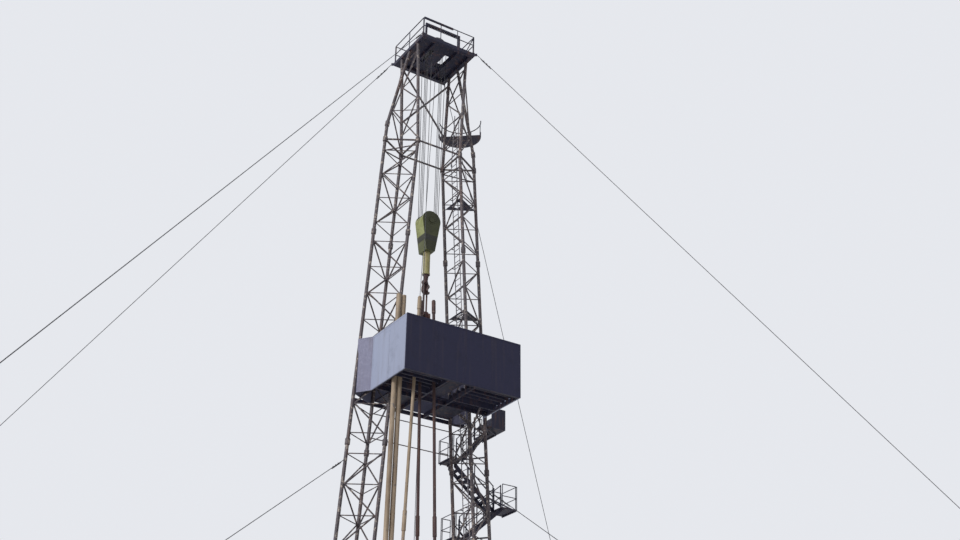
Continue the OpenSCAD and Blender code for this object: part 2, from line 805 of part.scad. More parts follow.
// Landing plates of the mast stair on two brackets each from the leg
module stair_landings() {
  color("midnightblue") difference() {
    for (i = [0 : landings_n - 1]) {
      z = landing_levels[i];
      x0 = landing_x0(i);
      x1 = landing_x1(i);
      zb = z - landing_t - bracket_r + 2;
      z_chord = i == 0 ? board_z - 60 : zb;
      translate([x0, stair_y, z - landing_t]) cube([x1 - x0, stair_far - stair_y, landing_t]);
      bracket(is_outer(i) ? "outer" : "back", z_chord, is_outer(i) ? x0 + 60 : x0 + 35, zb);
      bracket("outer", z_chord, x1 - 30, zb);
      if (i == 0) {
        near = stair_y - walkway_d;
        xw = outer_at(landing_0) + 50;
        translate([xw, near, z - landing_t]) cube([x1 - xw, walkway_d - 24, landing_t]);
        translate([x0, stair_y - 30, z - landing_t]) cube([x1 - x0, 40, landing_t]);
        translate([skirt_x, near - skirt_t, z - landing_t])
          cube([x1 + skirt_t - skirt_x, skirt_t + 1, landing_t + skirt_h]);
        translate([x1 - 1, near - skirt_t, z - landing_t])
          cube([skirt_t + 1, stair_far - near + skirt_t, landing_t + skirt_h]);
      }
    }
    chord(1, "back");
    chord(1, "outer");
  }
}

// Side plate of one flight, between its two landings
module stringer(i, y) {
  xa = landing_edge(i);
  xb = flight_foot(i);
  za = landing_levels[i];
  zb = flight_foot_z(i);
  last = i == landings_n - 1;
  depth = 110;
  translate([0, y + stringer_t, 0]) rotate([90, 0, 0]) linear_extrude(stringer_t)
    polygon([
      [xa, za], [xb, zb + (last ? depth : 0)],
      [xb, last ? zb : zb - depth],
      if (last) [xb + sign(xa - xb) * 90, zb],
      [xa, za - depth]
    ]);
}

module stair_stringers() {
  color("midnightblue")
    for (i = [0 : landings_n - 1])
      for (y = [band_y(i), band_y(i) + stair_w - stringer_t]) stringer(i, y);
}

// Treads of all flights, each seated between the two stringers
module stair_treads() {
  tread_d = 120;
  color("dimgray")
    for (i = [0 : landings_n - 1]) {
      xa = landing_edge(i);
      xb = flight_foot(i);
      za = landing_levels[i];
      zb = flight_foot_z(i);
      n = ceil((za - zb) / tread_rise);
      for (k = [1 : n - 1]) {
        x = xa + (xb - xa) * k / n;
        z = za + (zb - za) * k / n;
        translate([x - tread_d / 2, band_y(i) + stringer_t, z - 60])
          cube([tread_d, stair_w - 2 * stringer_t, 12]);
      }
    }
}

stair_rail_r = rail_r - 2;
rail_flat = stair_rail_r * cos(30);

// Hand rails bolted to the outer sides of the flights and round the landings
module stair_railings() {
  r = stair_rail_r;
  h = stair_rail_h - r;
  near = stair_y - rail_flat;
  far = stair_far + rail_flat;
  color("midnightblue")
    for (i = [0 : landings_n - 1]) {
      z = landing_levels[i];
      xa = landing_edge(i);
      xb = flight_foot(i);
      away = is_outer(i) ? 1 : -1;
      outer_x = is_outer(i) ? landing_x1(i) - r : landing_x0(i) + r;
      edge_x = xa + away * r;
      foot = z - landing_t + 5;
      top = h + landing_t - 5;
      fence([outer_x - away * corner_gap, far], [edge_x, far], 1, foot, top, r);
      if (i > 0) {
        fence([outer_x - away * corner_gap, near], [edge_x, near], 1, foot, top, r);
        fence([outer_x, near], [outer_x, far], 1, foot, top, r);
      }
      for (y = [band_y(i), band_y(i) + stair_w + 2 * rail_flat])
        translate([0, y, 0]) rotate([90, 0, 0]) linear_extrude(2 * rail_flat)
          for (f = [0.04, 0.5, 0.96]) {
            x = xa + (xb - xa) * f;
            z_foot = max(floor_h, z_along(i, f) - 60);
            translate([x - r, z_foot]) square([2 * r, z_along(i, f) + h - z_foot]);
            if (f < 0.9)
              for (level = [0.5, 1])
                polygon([
                  [x, z_along(i, f) + h * level],
                  [xa + (xb - xa) * (f + 0.46), z_along(i, f + 0.46) + h * level],
                  [xa + (xb - xa) * (f + 0.46), z_along(i, f + 0.46) + h * level - 2.4 * r],
                  [x, z_along(i, f) + h * level - 2.4 * r]
                ]);
          }
    }
}

// Height of flight i over its share f
function z_along(i, f) = landing_levels[i] + (flight_foot_z(i) - landing_levels[i]) * f;

// Clearance of the first racked collar from the side wall at the board
stand_gap = 85;
stand_1_x = stand_gap + collar_pipe_r - board_in;
stand_2_x = stand_1_x + 2 * collar_pipe_r + 23;

// Racked stands: place of the upper end and of the foot along X, their row, and their radius
stand_rows = [
  [stand_1_x, stand_1_x - 65, 2, collar_pipe_r], [stand_2_x, stand_2_x - 70, 2, collar_pipe_r],
  [-820, -1120, 3, pipe_r], [-690, -470, 2, pipe_r], [-480, -95, 3, pipe_r]
];
function row_y(i) = -finger_y0 - finger_w - i * finger_pitch - (finger_pitch - finger_w) / 2;

// One stand: two pipes with a tool joint at each end, or two thick collars with a shallow neck
module pipe_stand(xt, xf, y, r) {
  joint_r = r > tool_joint_r ? r + 1 : tool_joint_r;
  foot = [xf, y, floor_h];
  top = [xt, y, floor_h + stand_l];
  intersection() {
    union() {
      bar(foot, top, r, 20, sides = 12);
      bar(foot, toward(foot, top, 260), joint_r, 20, sides = 12);
      bar(toward(foot, top, stand_l / 2 - 200), toward(foot, top, stand_l / 2 + 200),
          joint_r, sides = 12);
      bar(toward(top, foot, 280), top, joint_r, sides = 12);
    }
    translate([-2500, -2500, floor_h]) cube([5000, 5000, stand_l + 400]);
  }
}

module pipe_stands() {
  color("tan") for (s = stand_rows) pipe_stand(s[0], s[1], row_y(s[2]), s[3]);
}

box_mid = floor_half_w - 60 - box_w / 2;
beam_top_z = floor_h - floor_t;

posts = 4;
post_y0 = -floor_front + 60 + main_beam_w / 2;
post_pitch = (floor_front + floor_back - 120 - main_beam_w) / (posts - 1);

// The two side frames of one substructure box, from skid beams to the beams under the floor
module substructure(side) {
  y0 = -floor_front + 60;
  l = floor_front + floor_back - 120;
  color("steelblue") for (s = [-1, 1]) {
    x = side * box_mid + s * (box_w / 2 - main_beam_w / 2);
    for (z = [0, beam_top_z - main_beam_h])
      translate([x - main_beam_w / 2, y0, z]) cube([main_beam_w, l, main_beam_h]);
    for (i = [0 : posts - 1]) {
      yp = post_y0 + i * post_pitch;
      translate([x - main_beam_w / 2, yp - main_beam_w / 2, main_beam_h - 5])
        cube([main_beam_w, main_beam_w, beam_top_z - 2 * main_beam_h + 10]);
      if (i < posts - 1) {
        yq = yp + post_pitch;
        up = i % 2 == 0;
        bar([x, yp, up ? main_beam_h : beam_top_z - main_beam_h],
            [x, yq, up ? beam_top_z - main_beam_h : main_beam_h], 45, 30, sides = 4);
      }
    }
  }
}

module left_substructure() { substructure(-1); }
module right_substructure() { substructure(1); }

// Ties inside the boxes, and beams that hold the boxes apart and carry the rotary table
module cross_beams() {
  x_in = box_mid - box_w / 2;
  rotary_y = 420;
  color("steelblue") {
    for (y = [-rotary_y, rotary_y])
      translate([-x_in, y - main_beam_w / 2, beam_top_z - 420])
        cube([2 * x_in, main_beam_w, 420]);
    for (y = [-floor_front + 60 + main_beam_w, floor_back - 60 - main_beam_w])
      for (z = [main_beam_h / 2, beam_top_z - main_beam_h / 2])
        translate([-x_in, y - 60, z - 60]) cube([2 * x_in, 120, 120]);
    for (side = [-1, 1])
      for (i = [0 : posts - 1])
        for (z = [main_beam_h / 2, beam_top_z - main_beam_h / 2])
          translate([side * box_mid - box_w / 2 + main_beam_w, post_y0 + i * post_pitch - 50, z - 50])
            cube([box_w - 2 * main_beam_w, 100, 100]);
  }
}

module drill_floor() {
  color("saddlebrown") difference() {
    translate([-floor_half_w, -floor_front, beam_top_z])
      cube([2 * floor_half_w, floor_front + floor_back, floor_t]);
    translate([-rotary_bore_r - 40, -rotary_bore_r - 40, beam_top_z - 1])
      cube([2 * (rotary_bore_r + 40), 2 * (rotary_bore_r + 40), floor_t + 2]);
  }
}

// Railings on the edges of the drill floor, open at the front and beside the foot of the stair
module floor_railing() {
  x = floor_half_w - 20;
  yf = -floor_front + 20;
  yb = floor_back - 20;
  color("goldenrod") {
    for (s = [-1, 1]) fence([s * 700, yf], [s * x, yf], 2, floor_h, stair_rail_h, rail_r);
    fence([-x, yf + corner_gap], [-x, yb - corner_gap], 4, floor_h, stair_rail_h, rail_r);
    fence([-x, yb], [x, yb], 5, floor_h, stair_rail_h, rail_r);
    fence([x, yb - corner_gap], [x, stair_far + 60], 1, floor_h, stair_rail_h, rail_r);
    fence([x, yf + corner_gap], [x, stair_y - 60], 3, floor_h, stair_rail_h, rail_r);
  }
}

// Rotary table on the drill floor: square housing and round turntable
module rotary_table() {
  color("darkolivegreen") difference() {
    union() {
      translate([-430, -380, floor_h]) cube([860, 760, 90]);
      translate([0, 0, floor_h]) cylinder(h = 130, r = 330, $fn = 64);
    }
    translate([0, 0, floor_h - 1]) cylinder(h = 140, r = rotary_bore_r, $fn = 64);
  }
}

drum_y = 1560;
drum_r = 200;
drum_z = floor_h + 480;

// Drawworks behind the well: drum between two side frames on a skid
module drawworks() {
  color("seagreen") {
    translate([-800, drum_y - 450, floor_h]) cube([1600, 900, 100]);
    for (s = [-1, 1])
      translate([s * 560 - 60, drum_y - 380, floor_h + 95]) cube([120, 760, 705]);
    translate([-520, drum_y, drum_z]) rotate([0, 90, 0]) cylinder(h = 1040, r = drum_r, $fn = 48);
    for (s = [-1, 1])
      translate([s * 440 - 20, drum_y, drum_z]) rotate([0, 90, 0])
        cylinder(h = 40, r = 330, $fn = 48);
  }
}

dead_anchor = [-290, -440];
dead_anchor_h = 400;

// Rope from the last crown sheave down to the drum
module fast_line() {
  color("dimgray")
    bar([rope_x, outer_sheave_y, sheave_axis_z], [300, drum_y - drum_r - rope_r, drum_z],
        rope_r, sides = 8);
}

// Rope from the first crown sheave down to its anchor post on the drill floor
module dead_line() {
  color("dimgray") {
    bar([-rope_x, -outer_sheave_y, sheave_axis_z],
        [dead_anchor.x, dead_anchor.y, floor_h + dead_anchor_h - 5], rope_r, sides = 8);
    translate([dead_anchor.x - 40, dead_anchor.y - 40, floor_h]) cube([80, 80, dead_anchor_h]);
  }
}

anchor_top = anchor_h + 60;
// Places of the guy anchors, their upper ends follow from the crown and the chords
function anchor_eye(x, y) = [x, y, anchor_top];

module crown_guys() {
  color("gray") difference() {
    for (sx = [-1, 1])
      for (sy = [-1, 1]) {
        turn = atan2(sy * crown_anchor_y, sx * crown_anchor_x);
        top = [sx * crown_half_w + (lug_w - 8) * cos(turn), sy * crown_half_d + (lug_w - 8) * sin(turn),
               crown_z + crown_t / 2];
        bar(top, [sx * crown_anchor_x, sy * crown_anchor_y, anchor_top - 25], guy_r, sides = 8);
      }
    crown_platform();
    guy_anchors();
  }
}

module lower_guys() {
  color("gray") difference() {
    for (side = [-1, 1])
      bar(chord_at(side, "outer", lower_guy_z),
          [side * lower_anchor_x, -lower_anchor_y, anchor_top - 25], guy_r, sides = 8);
    for (side = [-1, 1]) chord(side, "outer");
    guy_anchors();
  }
}

// Concrete block with an upright steel eye plate
module anchor(x, y) {
  translate([x, y, 0]) {
    translate([-anchor_w / 2, -anchor_w / 2, 0]) cube([anchor_w, anchor_w, anchor_h]);
    rotate([0, 0, atan2(y, x)])
      translate([-60, -12, anchor_h - 5]) cube([120, 24, anchor_top - anchor_h + 5]);
  }
}

module guy_anchors() {
  color("gainsboro") {
    for (sx = [-1, 1])
      for (sy = [-1, 1]) anchor(sx * crown_anchor_x, sy * crown_anchor_y);
    for (side = [-1, 1]) anchor(side * lower_anchor_x, -lower_anchor_y);
  }
}

// Outline of the block in the XZ plane, a circle drawn down to a narrow foot
module block_outline(r, foot_w) {
  drop = block_axis_z - block_bottom;
  d = norm([foot_w, drop]);
  turn = atan2(drop, foot_w) - acos(r / d);
  circle(r = r, $fn = 96);
  polygon([
    [r * cos(turn), -r * sin(turn)], [foot_w, -drop], [-foot_w, -drop],
    [-r * cos(turn), -r * sin(turn)], [0, r / 2]
  ]);
}

cheek_t = 34;

// Travelling block: two cheek plates and edge guards round four sheaves, with a heavy foot
module travelling_block() {
  cavity = block_d - 2 * cheek_t;
  color("olive") translate([0, 0, block_axis_z]) {
    difference() {
      translate([0, block_d / 2, 0]) rotate([90, 0, 0]) linear_extrude(block_d)
        block_outline(block_half_w, block_foot_half_w);
      translate([0, cavity / 2, 0]) rotate([90, 0, 0]) cylinder(h = cavity, r = sheave_r + 4, $fn = 96);
      translate([-sheave_r - 4, -cavity / 2, 0])
        cube([2 * sheave_r + 8, cavity, block_half_w + 10]);
    }
    translate([0, block_d / 2, 0]) rotate([90, 0, 0]) cylinder(h = block_d, r = shaft_r, $fn = 48);
    for (s = [-1, 1])
      translate([0, s * (block_d / 2 + 8), 0]) rotate([90, 0, 0])
        translate([0, 0, -8]) cylinder(h = 16, r = 62, $fn = 48);
  }
}

module block_sheaves() {
  color("gray")
    for (i = [0 : block_sheaves_n - 1])
      translate([0, 0, block_axis_z]) sheave(block_sheave_y(i));
}

link_x = 120;
ear_r = 26;
link_eye_r = 46;
hook_neck_z = hook_top - 170;
link_top_z = hook_neck_z - 100;
link_foot_z = link_top_z - link_l;
throat_z = link_top_z - 160;

// Outline of the hook in its own plane: neck, shoulders and a bowl open on one side
module hook_outline() {
  difference() {
    union() {
      polygon([
        [-38, hook_neck_z], [38, hook_neck_z], [74, link_top_z + 35], [74, link_top_z - 40],
        [40, throat_z + 70], [20, throat_z], [-hook_r, throat_z], [-74, link_top_z - 40],
        [-74, link_top_z + 35]
      ]);
      translate([0, throat_z]) circle(r = hook_r, $fn = 64);
    }
    translate([0, throat_z]) circle(r = throat_r, $fn = 48);
    polygon([
      [6, throat_z + 30], [throat_r - 4, throat_z - 14], [140, throat_z + 44],
      [140, throat_z + 90], [40, throat_z + 82], [6, throat_z + 56]
    ]);
  }
}

// Outline of the hook seen from its edge, thin at the neck and thick at the bowl
module hook_edge() {
  polygon([
    [-38, hook_neck_z], [38, hook_neck_z], [hook_t / 2, throat_z + 50],
    [hook_t / 2, throat_z - 40], [hook_t / 3, throat_z - hook_r], [-hook_t / 3, throat_z - hook_r],
    [-hook_t / 2, throat_z - 40], [-hook_t / 2, throat_z + 50]
  ]);
}

// Barrel with its swivel neck, and below it the forged hook with side ears for the links
module hook() {
  color("darkkhaki") {
    translate([0, 0, hook_top]) cylinder(h = barrel_l, r = barrel_r, $fn = 48);
    translate([0, 0, hook_top - 30]) cylinder(h = 40, r = barrel_r + 8, $fn = 48);
    translate([0, 0, hook_neck_z + running_gap])
      cylinder(h = hook_top - 25 - hook_neck_z, r1 = 44, r2 = 64, $fn = 48);
    rotate([0, 0, hook_turn]) {
      intersection() {
        rotate([90, 0, 0]) translate([0, 0, -hook_t]) linear_extrude(2 * hook_t) hook_outline();
        rotate([90, 0, 90]) translate([0, 0, -150]) linear_extrude(300) hook_edge();
      }
      translate([-link_x - 45, 0, link_top_z]) rotate([0, 90, 0])
        cylinder(h = 2 * link_x + 90, r = ear_r, $fn = 32);
      for (s = [-1, 1])
        translate([s * (link_x + 42) - 6, 0, link_top_z]) rotate([0, 90, 0])
          cylinder(h = 12, r = ear_r + 14, $fn = 32);
    }
  }
}

// One long link: an eye at each end of a straight bar
module elevator_link(s) {
  eye_in = link_eye_r - link_r;
  translate([s * link_x, 0, 0]) {
    for (z = [link_top_z - eye_in + ear_r + running_gap, link_foot_z + eye_in - 22 - running_gap])
      translate([0, 0, z]) rotate([0, 90, 0])
        rotate_extrude($fn = 48) translate([link_eye_r, 0]) circle(r = link_r, $fn = 24);
    translate([0, 0, link_foot_z + 2 * link_eye_r - 30])
      cylinder(h = link_l - 4 * link_eye_r + 66, r = link_r, $fn = 24);
  }
}

module elevator_links() {
  color("dimgray") rotate([0, 0, hook_turn]) for (s = [-1, 1]) elevator_link(s);
}

// Pipe elevator: split collar with side ears for the links
module elevator() {
  color("firebrick") rotate([0, 0, hook_turn]) difference() {
    union() {
      translate([0, 0, link_foot_z - 110]) cylinder(h = 200, r = 88, $fn = 48);
      translate([-link_x - 40, 0, link_foot_z]) rotate([0, 90, 0])
        cylinder(h = 2 * link_x + 80, r = 22, $fn = 32);
      for (s = [-1, 1])
        translate([s * (link_x + 36) - 5, 0, link_foot_z]) rotate([0, 90, 0])
          cylinder(h = 10, r = 36, $fn = 32);
      translate([-20, -130, link_foot_z - 60]) cube([40, 60, 120]);
    }
    translate([0, 0, link_foot_z - 120]) cylinder(h = 230, r = elevator_bore_r, $fn = 48);
  }
}

// Rope falls between the crown sheaves and the travelling block
module hoist_lines() {
  color("dimgray")
    for (i = [0 : block_sheaves_n - 1])
      for (s = [-1, 1])
        bar([s * rope_x, block_sheave_y(i), block_axis_z],
            [s * rope_x, crown_sheave_y(s < 0 ? i + 1 : i), sheave_axis_z], rope_r, sides = 8);
}

left_outer_chord();
left_front_chord();
left_back_chord();
right_outer_chord();
right_front_chord();
right_back_chord();
left_front_bracing();
left_back_bracing();
left_inner_bracing();
right_front_bracing();
right_back_bracing();
right_inner_bracing();
tie_frame();
portal_bracing();
leg_rest_plates();
leg_ladder();
crown_platform();
crown_railing();
crown_block_frame();
crown_sheaves();
crown_basket();
board_beams();
board_floor();
racking_fingers();
diving_board();
front_wind_wall();
left_wind_wall();
right_wind_wall();
rear_wind_walls();
board_knee_braces();
stair_landings();
stair_stringers();
stair_treads();
stair_railings();
pipe_stands();
left_substructure();
right_substructure();
cross_beams();
drill_floor();
floor_railing();
rotary_table();
drawworks();
fast_line();
dead_line();
crown_guys();
lower_guys();
guy_anchors();
travelling_block();
block_sheaves();
hook();
elevator_links();
elevator();
hoist_lines();
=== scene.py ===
"""Looks of the drilling rig: materials, ropes, bolts, sheet trim, camera and light round the CAD part."""
import json
import math

import bmesh
import bpy
from mathutils import Matrix, Vector


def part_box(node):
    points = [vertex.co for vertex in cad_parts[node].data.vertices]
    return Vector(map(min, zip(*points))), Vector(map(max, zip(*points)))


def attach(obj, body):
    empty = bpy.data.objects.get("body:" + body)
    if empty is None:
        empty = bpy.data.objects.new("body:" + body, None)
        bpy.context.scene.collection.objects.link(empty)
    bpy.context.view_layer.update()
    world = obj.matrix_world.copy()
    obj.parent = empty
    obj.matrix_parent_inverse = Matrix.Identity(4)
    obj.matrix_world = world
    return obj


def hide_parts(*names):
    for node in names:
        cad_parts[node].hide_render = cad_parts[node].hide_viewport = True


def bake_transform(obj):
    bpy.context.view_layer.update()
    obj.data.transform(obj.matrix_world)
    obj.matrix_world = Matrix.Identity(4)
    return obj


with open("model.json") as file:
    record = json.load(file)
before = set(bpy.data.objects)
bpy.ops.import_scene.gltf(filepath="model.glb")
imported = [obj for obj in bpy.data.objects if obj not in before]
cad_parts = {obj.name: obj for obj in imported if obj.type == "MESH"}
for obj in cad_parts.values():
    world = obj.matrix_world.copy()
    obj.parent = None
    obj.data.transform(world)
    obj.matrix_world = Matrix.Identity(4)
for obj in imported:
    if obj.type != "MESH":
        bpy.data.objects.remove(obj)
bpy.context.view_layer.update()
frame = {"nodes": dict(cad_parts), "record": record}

# Camera, worked out from the photograph: place in metres, then pitch, heading and roll in radians
CAMERA_PLACE = Vector((-12.76, -22.2, 0.80))
CAMERA_PITCH = 0.486
CAMERA_HEADING = 0.569
CAMERA_ROLL = 0.015
LENS_MM = 48.14
SENSOR_MM = 36.0

# Light: strength of the fill, the backdrop and the sun, and where the sun stands and its width in radians
FILL_STRENGTH = 0.45
BACKDROP_STRENGTH = 0.85
SUN_STRENGTH = 2.4
SUN_FROM = Vector((-0.86, -0.14, 0.49))
SUN_WIDTH = 0.30

ALONG_X = Vector((1, 0, 0))
ALONG_Y = Vector((0, 1, 0))
UP = Vector((0, 0, 1))

# Sizes of the CAD part that its boxes don't give, in metres
ROPE_R = 0.007
GUY_R = 0.008
JOINT_LEVELS = (4.85, 9.85, 14.85)
COLLAR_H = 0.13
CHEEK_Y = 0.170
DRUM_Z = 3.68
BEAM_H = 0.22
SHAFT_END = 0.325
POST_H = 0.40

# How many sides a bolt head, a rivet head and a rope have
BOLT_SIDES = 6
RIVET_SIDES = 8
ROPE_SIDES = 10

# Heads of plate bolts and rivets, as (radius, height), and sheet joints, in metres
PLATE_HEAD = (0.011, 0.010)
RIVET_HEAD = (0.0042, 0.0028)
RIVET_PITCH = 0.0975
SEAM_W = 0.044
SEAM_T = 0.003
RIM_W = 0.040


# Materials
class Shade:
    """One node material: short calls that add a node, feed its inputs and return its output."""

    def __init__(self, name, roughness=0.6, metallic=0.0):
        self.material = bpy.data.materials.new(name)
        self.material.use_nodes = True
        self.tree = self.material.node_tree
        self.shader = self.tree.nodes["Principled BSDF"]
        self.shader.inputs["Metallic"].default_value = metallic
        self.shader.inputs["Roughness"].default_value = roughness
        self.shader.inputs["Specular IOR Level"].default_value = 0.3
        self.place = self.tree.nodes.new("ShaderNodeTexCoord").outputs["Object"]

    def feed(self, socket, value):
        if isinstance(value, bpy.types.NodeSocket):
            self.tree.links.new(value, socket)
        else:
            socket.default_value = value

    def add(self, kind, inputs, output=0, **settings):
        made = self.tree.nodes.new("ShaderNode" + kind)
        for name, value in settings.items():
            setattr(made, name, value)
        for name, value in inputs.items():
            self.feed(made.inputs[name], value)
        return made.outputs[output]

    def stretched(self, scale):
        return self.add("Mapping", {"Vector": self.place, "Scale": scale})

    def noise(self, scale, detail=4.0, rough=0.55, stretch=(1, 1, 1)):
        place = self.stretched(stretch)
        return self.add("TexNoise", {"Vector": place, "Scale": scale, "Detail": detail,
                                     "Roughness": rough})

    def ramp(self, value, low, high, start=0.0, end=1.0):
        return self.add("MapRange", {"Value": value, "From Min": low, "From Max": high,
                                     "To Min": start, "To Max": end})

    def mix(self, share, a, b):
        made = self.tree.nodes.new("ShaderNodeMix")
        made.data_type = "RGBA"
        self.feed(made.inputs[0], share)
        self.feed(made.inputs[6], a)
        self.feed(made.inputs[7], b)
        return made.outputs[2]

    def math(self, operation, a, b=0.0):
        made = self.tree.nodes.new("ShaderNodeMath")
        made.operation = operation
        self.feed(made.inputs[0], a)
        self.feed(made.inputs[1], b)
        return made.outputs[0]

    def axis(self, name):
        return self.add("SeparateXYZ", {"Vector": self.place}, output="XYZ".index(name))

    def bump(self, height, strength, distance):
        normal = self.add("Bump", {"Height": height, "Strength": strength, "Distance": distance})
        self.feed(self.shader.inputs["Normal"], normal)

    def finish(self, colour, roughness):
        self.feed(self.shader.inputs["Base Color"], colour)
        self.feed(self.shader.inputs["Roughness"], roughness)
        return self.material


def rgb(r, g, b):
    """A colour in linear light, opaque."""
    return (r, g, b, 1.0)


RUST = rgb(0.16, 0.075, 0.045)
GREASE = rgb(0.012, 0.012, 0.014)


def painted(name, colour, worn, wear=0.3, roughness=0.5, metallic=0.0):
    """Old paint: clouded colour, rubbed patches that show worn, runs of dirt down upright faces."""
    s = Shade(name, roughness, metallic)
    cloud = s.ramp(s.noise(2.5, 5), 0.3, 0.7)
    dark = rgb(*(c * 0.62 for c in colour[:3]))
    base = s.mix(cloud, dark, colour)
    runs = s.ramp(s.noise(9.0, 6, 0.65, (1, 1, 0.12)), 0.52, 0.75, 0, 0.6)
    base = s.mix(runs, base, RUST)
    patches = s.noise(14.0, 8, 0.7)
    rubbed = s.ramp(patches, 0.66 - 0.2 * wear, 0.7 - 0.2 * wear)
    base = s.mix(rubbed, base, worn)
    fine = s.noise(90.0, 3)
    s.bump(s.math("ADD", s.math("MULTIPLY", fine, 0.4), s.math("MULTIPLY", rubbed, -0.8)), 0.35, 0.002)
    return s.finish(base, s.ramp(fine, 0.3, 0.7, roughness - 0.08, roughness + 0.2))


def weathered_sheet(name, colour, streak, panel=0.61):
    """Bare or painted metal sheet: panels of slightly different tone, streaks from the top edge."""
    s = Shade(name, 0.5, 0.15)
    along = s.math("ADD", s.axis("X"), s.axis("Y"))
    step = s.math("FLOOR", s.math("DIVIDE", along, panel))
    tone = s.add("TexWhiteNoise", {"W": step}, noise_dimensions="1D")
    base = s.mix(s.math("MULTIPLY", tone, 0.45), colour, rgb(*(c * 0.72 for c in colour[:3])))
    streaks = s.ramp(s.noise(7.0, 6, 0.6, (1.6, 1.6, 0.10)), 0.5, 0.78, 0, 0.75)
    base = s.mix(streaks, base, streak)
    blotch = s.ramp(s.noise(3.0, 5, 0.6), 0.55, 0.72, 0, 0.5)
    base = s.mix(blotch, base, rgb(*(c * 0.55 for c in colour[:3])))
    fine = s.noise(60.0, 4)
    dent = s.noise(3.5, 2)
    s.bump(s.math("ADD", s.math("MULTIPLY", fine, 0.15), dent), 0.35, 0.02)
    return s.finish(base, s.ramp(fine, 0.3, 0.7, 0.38, 0.62))


def mill_pipe(name):
    """Racked pipe: steel under a tan coat of dried mud, with dark drips, bare patches and fine rust."""
    s = Shade(name, 0.6, 0.2)
    cloud = s.ramp(s.noise(5.0, 5, 0.6, (1, 1, 0.4)), 0.3, 0.72)
    base = s.mix(cloud, rgb(0.20, 0.145, 0.10), rgb(0.40, 0.315, 0.225))
    drips = s.ramp(s.noise(14.0, 6, 0.65, (1, 1, 0.07)), 0.54, 0.66, 0, 0.55)
    base = s.mix(drips, base, rgb(0.15, 0.12, 0.10))
    bare = s.ramp(s.noise(7.0, 8, 0.7), 0.60, 0.63)
    base = s.mix(s.math("MULTIPLY", bare, 0.85), base, rgb(0.17, 0.155, 0.15))
    spots = s.ramp(s.noise(75.0, 6, 0.7), 0.62, 0.68, 0, 0.6)
    base = s.mix(spots, base, RUST)
    fine = s.noise(120.0, 3)
    s.bump(s.math("ADD", fine, s.math("MULTIPLY", bare, -1.2)), 0.4, 0.0015)
    s.feed(s.shader.inputs["Metallic"], s.ramp(bare, 0.0, 1.0, 0.1, 0.6))
    return s.finish(base, s.ramp(fine, 0.3, 0.7, 0.5, 0.8))


def chequer_plate(name, colour, mud):
    """Rolled floor plate: raised bars that cross each other, worn bright on top, mud between."""
    s = Shade(name, 0.55, 0.35)
    cell = 0.05
    lean = s.add("Mapping", {"Vector": s.place, "Rotation": (0, 0, math.radians(45)),
                             "Scale": (1 / cell, 1 / cell, 1)})
    split = s.tree.nodes.new("ShaderNodeSeparateXYZ")
    s.feed(split.inputs[0], lean)
    fx = s.math("ABSOLUTE", s.math("SUBTRACT", s.math("FRACT", split.outputs[0]), 0.5))
    fy = s.math("ABSOLUTE", s.math("SUBTRACT", s.math("FRACT", split.outputs[1]), 0.5))
    odd = s.math("MODULO", s.math("ABSOLUTE", s.math("ADD", s.math("FLOOR", split.outputs[0]),
                                                     s.math("FLOOR", split.outputs[1]))), 2.0)
    # Half width and half length of a bar, in cells: where its top ends and where its flank ends
    bar_half_w, bar_half_l = (0.10, 0.16), (0.34, 0.42)
    bar_a = s.math("MULTIPLY", s.ramp(fx, *bar_half_w, 1, 0), s.ramp(fy, *bar_half_l, 1, 0))
    bar_b = s.math("MULTIPLY", s.ramp(fy, *bar_half_w, 1, 0), s.ramp(fx, *bar_half_l, 1, 0))
    bars = s.math("ADD", s.math("MULTIPLY", bar_a, odd),
                  s.math("MULTIPLY", bar_b, s.math("SUBTRACT", 1.0, odd)))
    cloud = s.ramp(s.noise(1.6, 6, 0.65), 0.35, 0.65)
    base = s.mix(cloud, mud, colour)
    base = s.mix(s.math("MULTIPLY", bars, 0.5), base, rgb(0.34, 0.32, 0.30))
    seams, seam_half, seam_edge = 0.0, 0.003, 0.005
    for axis, plate in (("X", 0.98), ("Y", 0.55)):
        share = s.math("FRACT", s.math("DIVIDE", s.axis(axis), plate))
        across = s.math("ABSOLUTE", s.math("SUBTRACT", share, 0.5))
        seams = s.math("MAXIMUM", seams, s.ramp(across, 0.5 - seam_edge / plate, 0.5 - seam_half / plate))
    base = s.mix(seams, base, rgb(0.03, 0.025, 0.02))
    height = s.math("ADD", bars, s.math("MULTIPLY", cloud, -0.3))
    s.bump(s.math("SUBTRACT", height, s.math("MULTIPLY", seams, 2.0)), 0.6, 0.004)
    return s.finish(base, s.ramp(cloud, 0, 1, 0.75, 0.45))


def wire_rope(name, colour):
    """Laid wire rope: slanting strands, dark grease between them."""
    s = Shade(name, 0.45, 0.6)
    around = s.math("ADD", s.axis("X"), s.axis("Y"))
    lay = s.math("ADD", s.math("MULTIPLY", around, 3.0), s.axis("Z"))
    strand_pitch = 0.024
    strand = s.math("ABSOLUTE", s.math("SINE", s.math("MULTIPLY", lay, math.pi / strand_pitch)))
    base = s.mix(strand, GREASE, colour)
    s.bump(strand, 0.8, 0.003)
    return s.finish(base, s.ramp(strand, 0, 1, 0.7, 0.4))


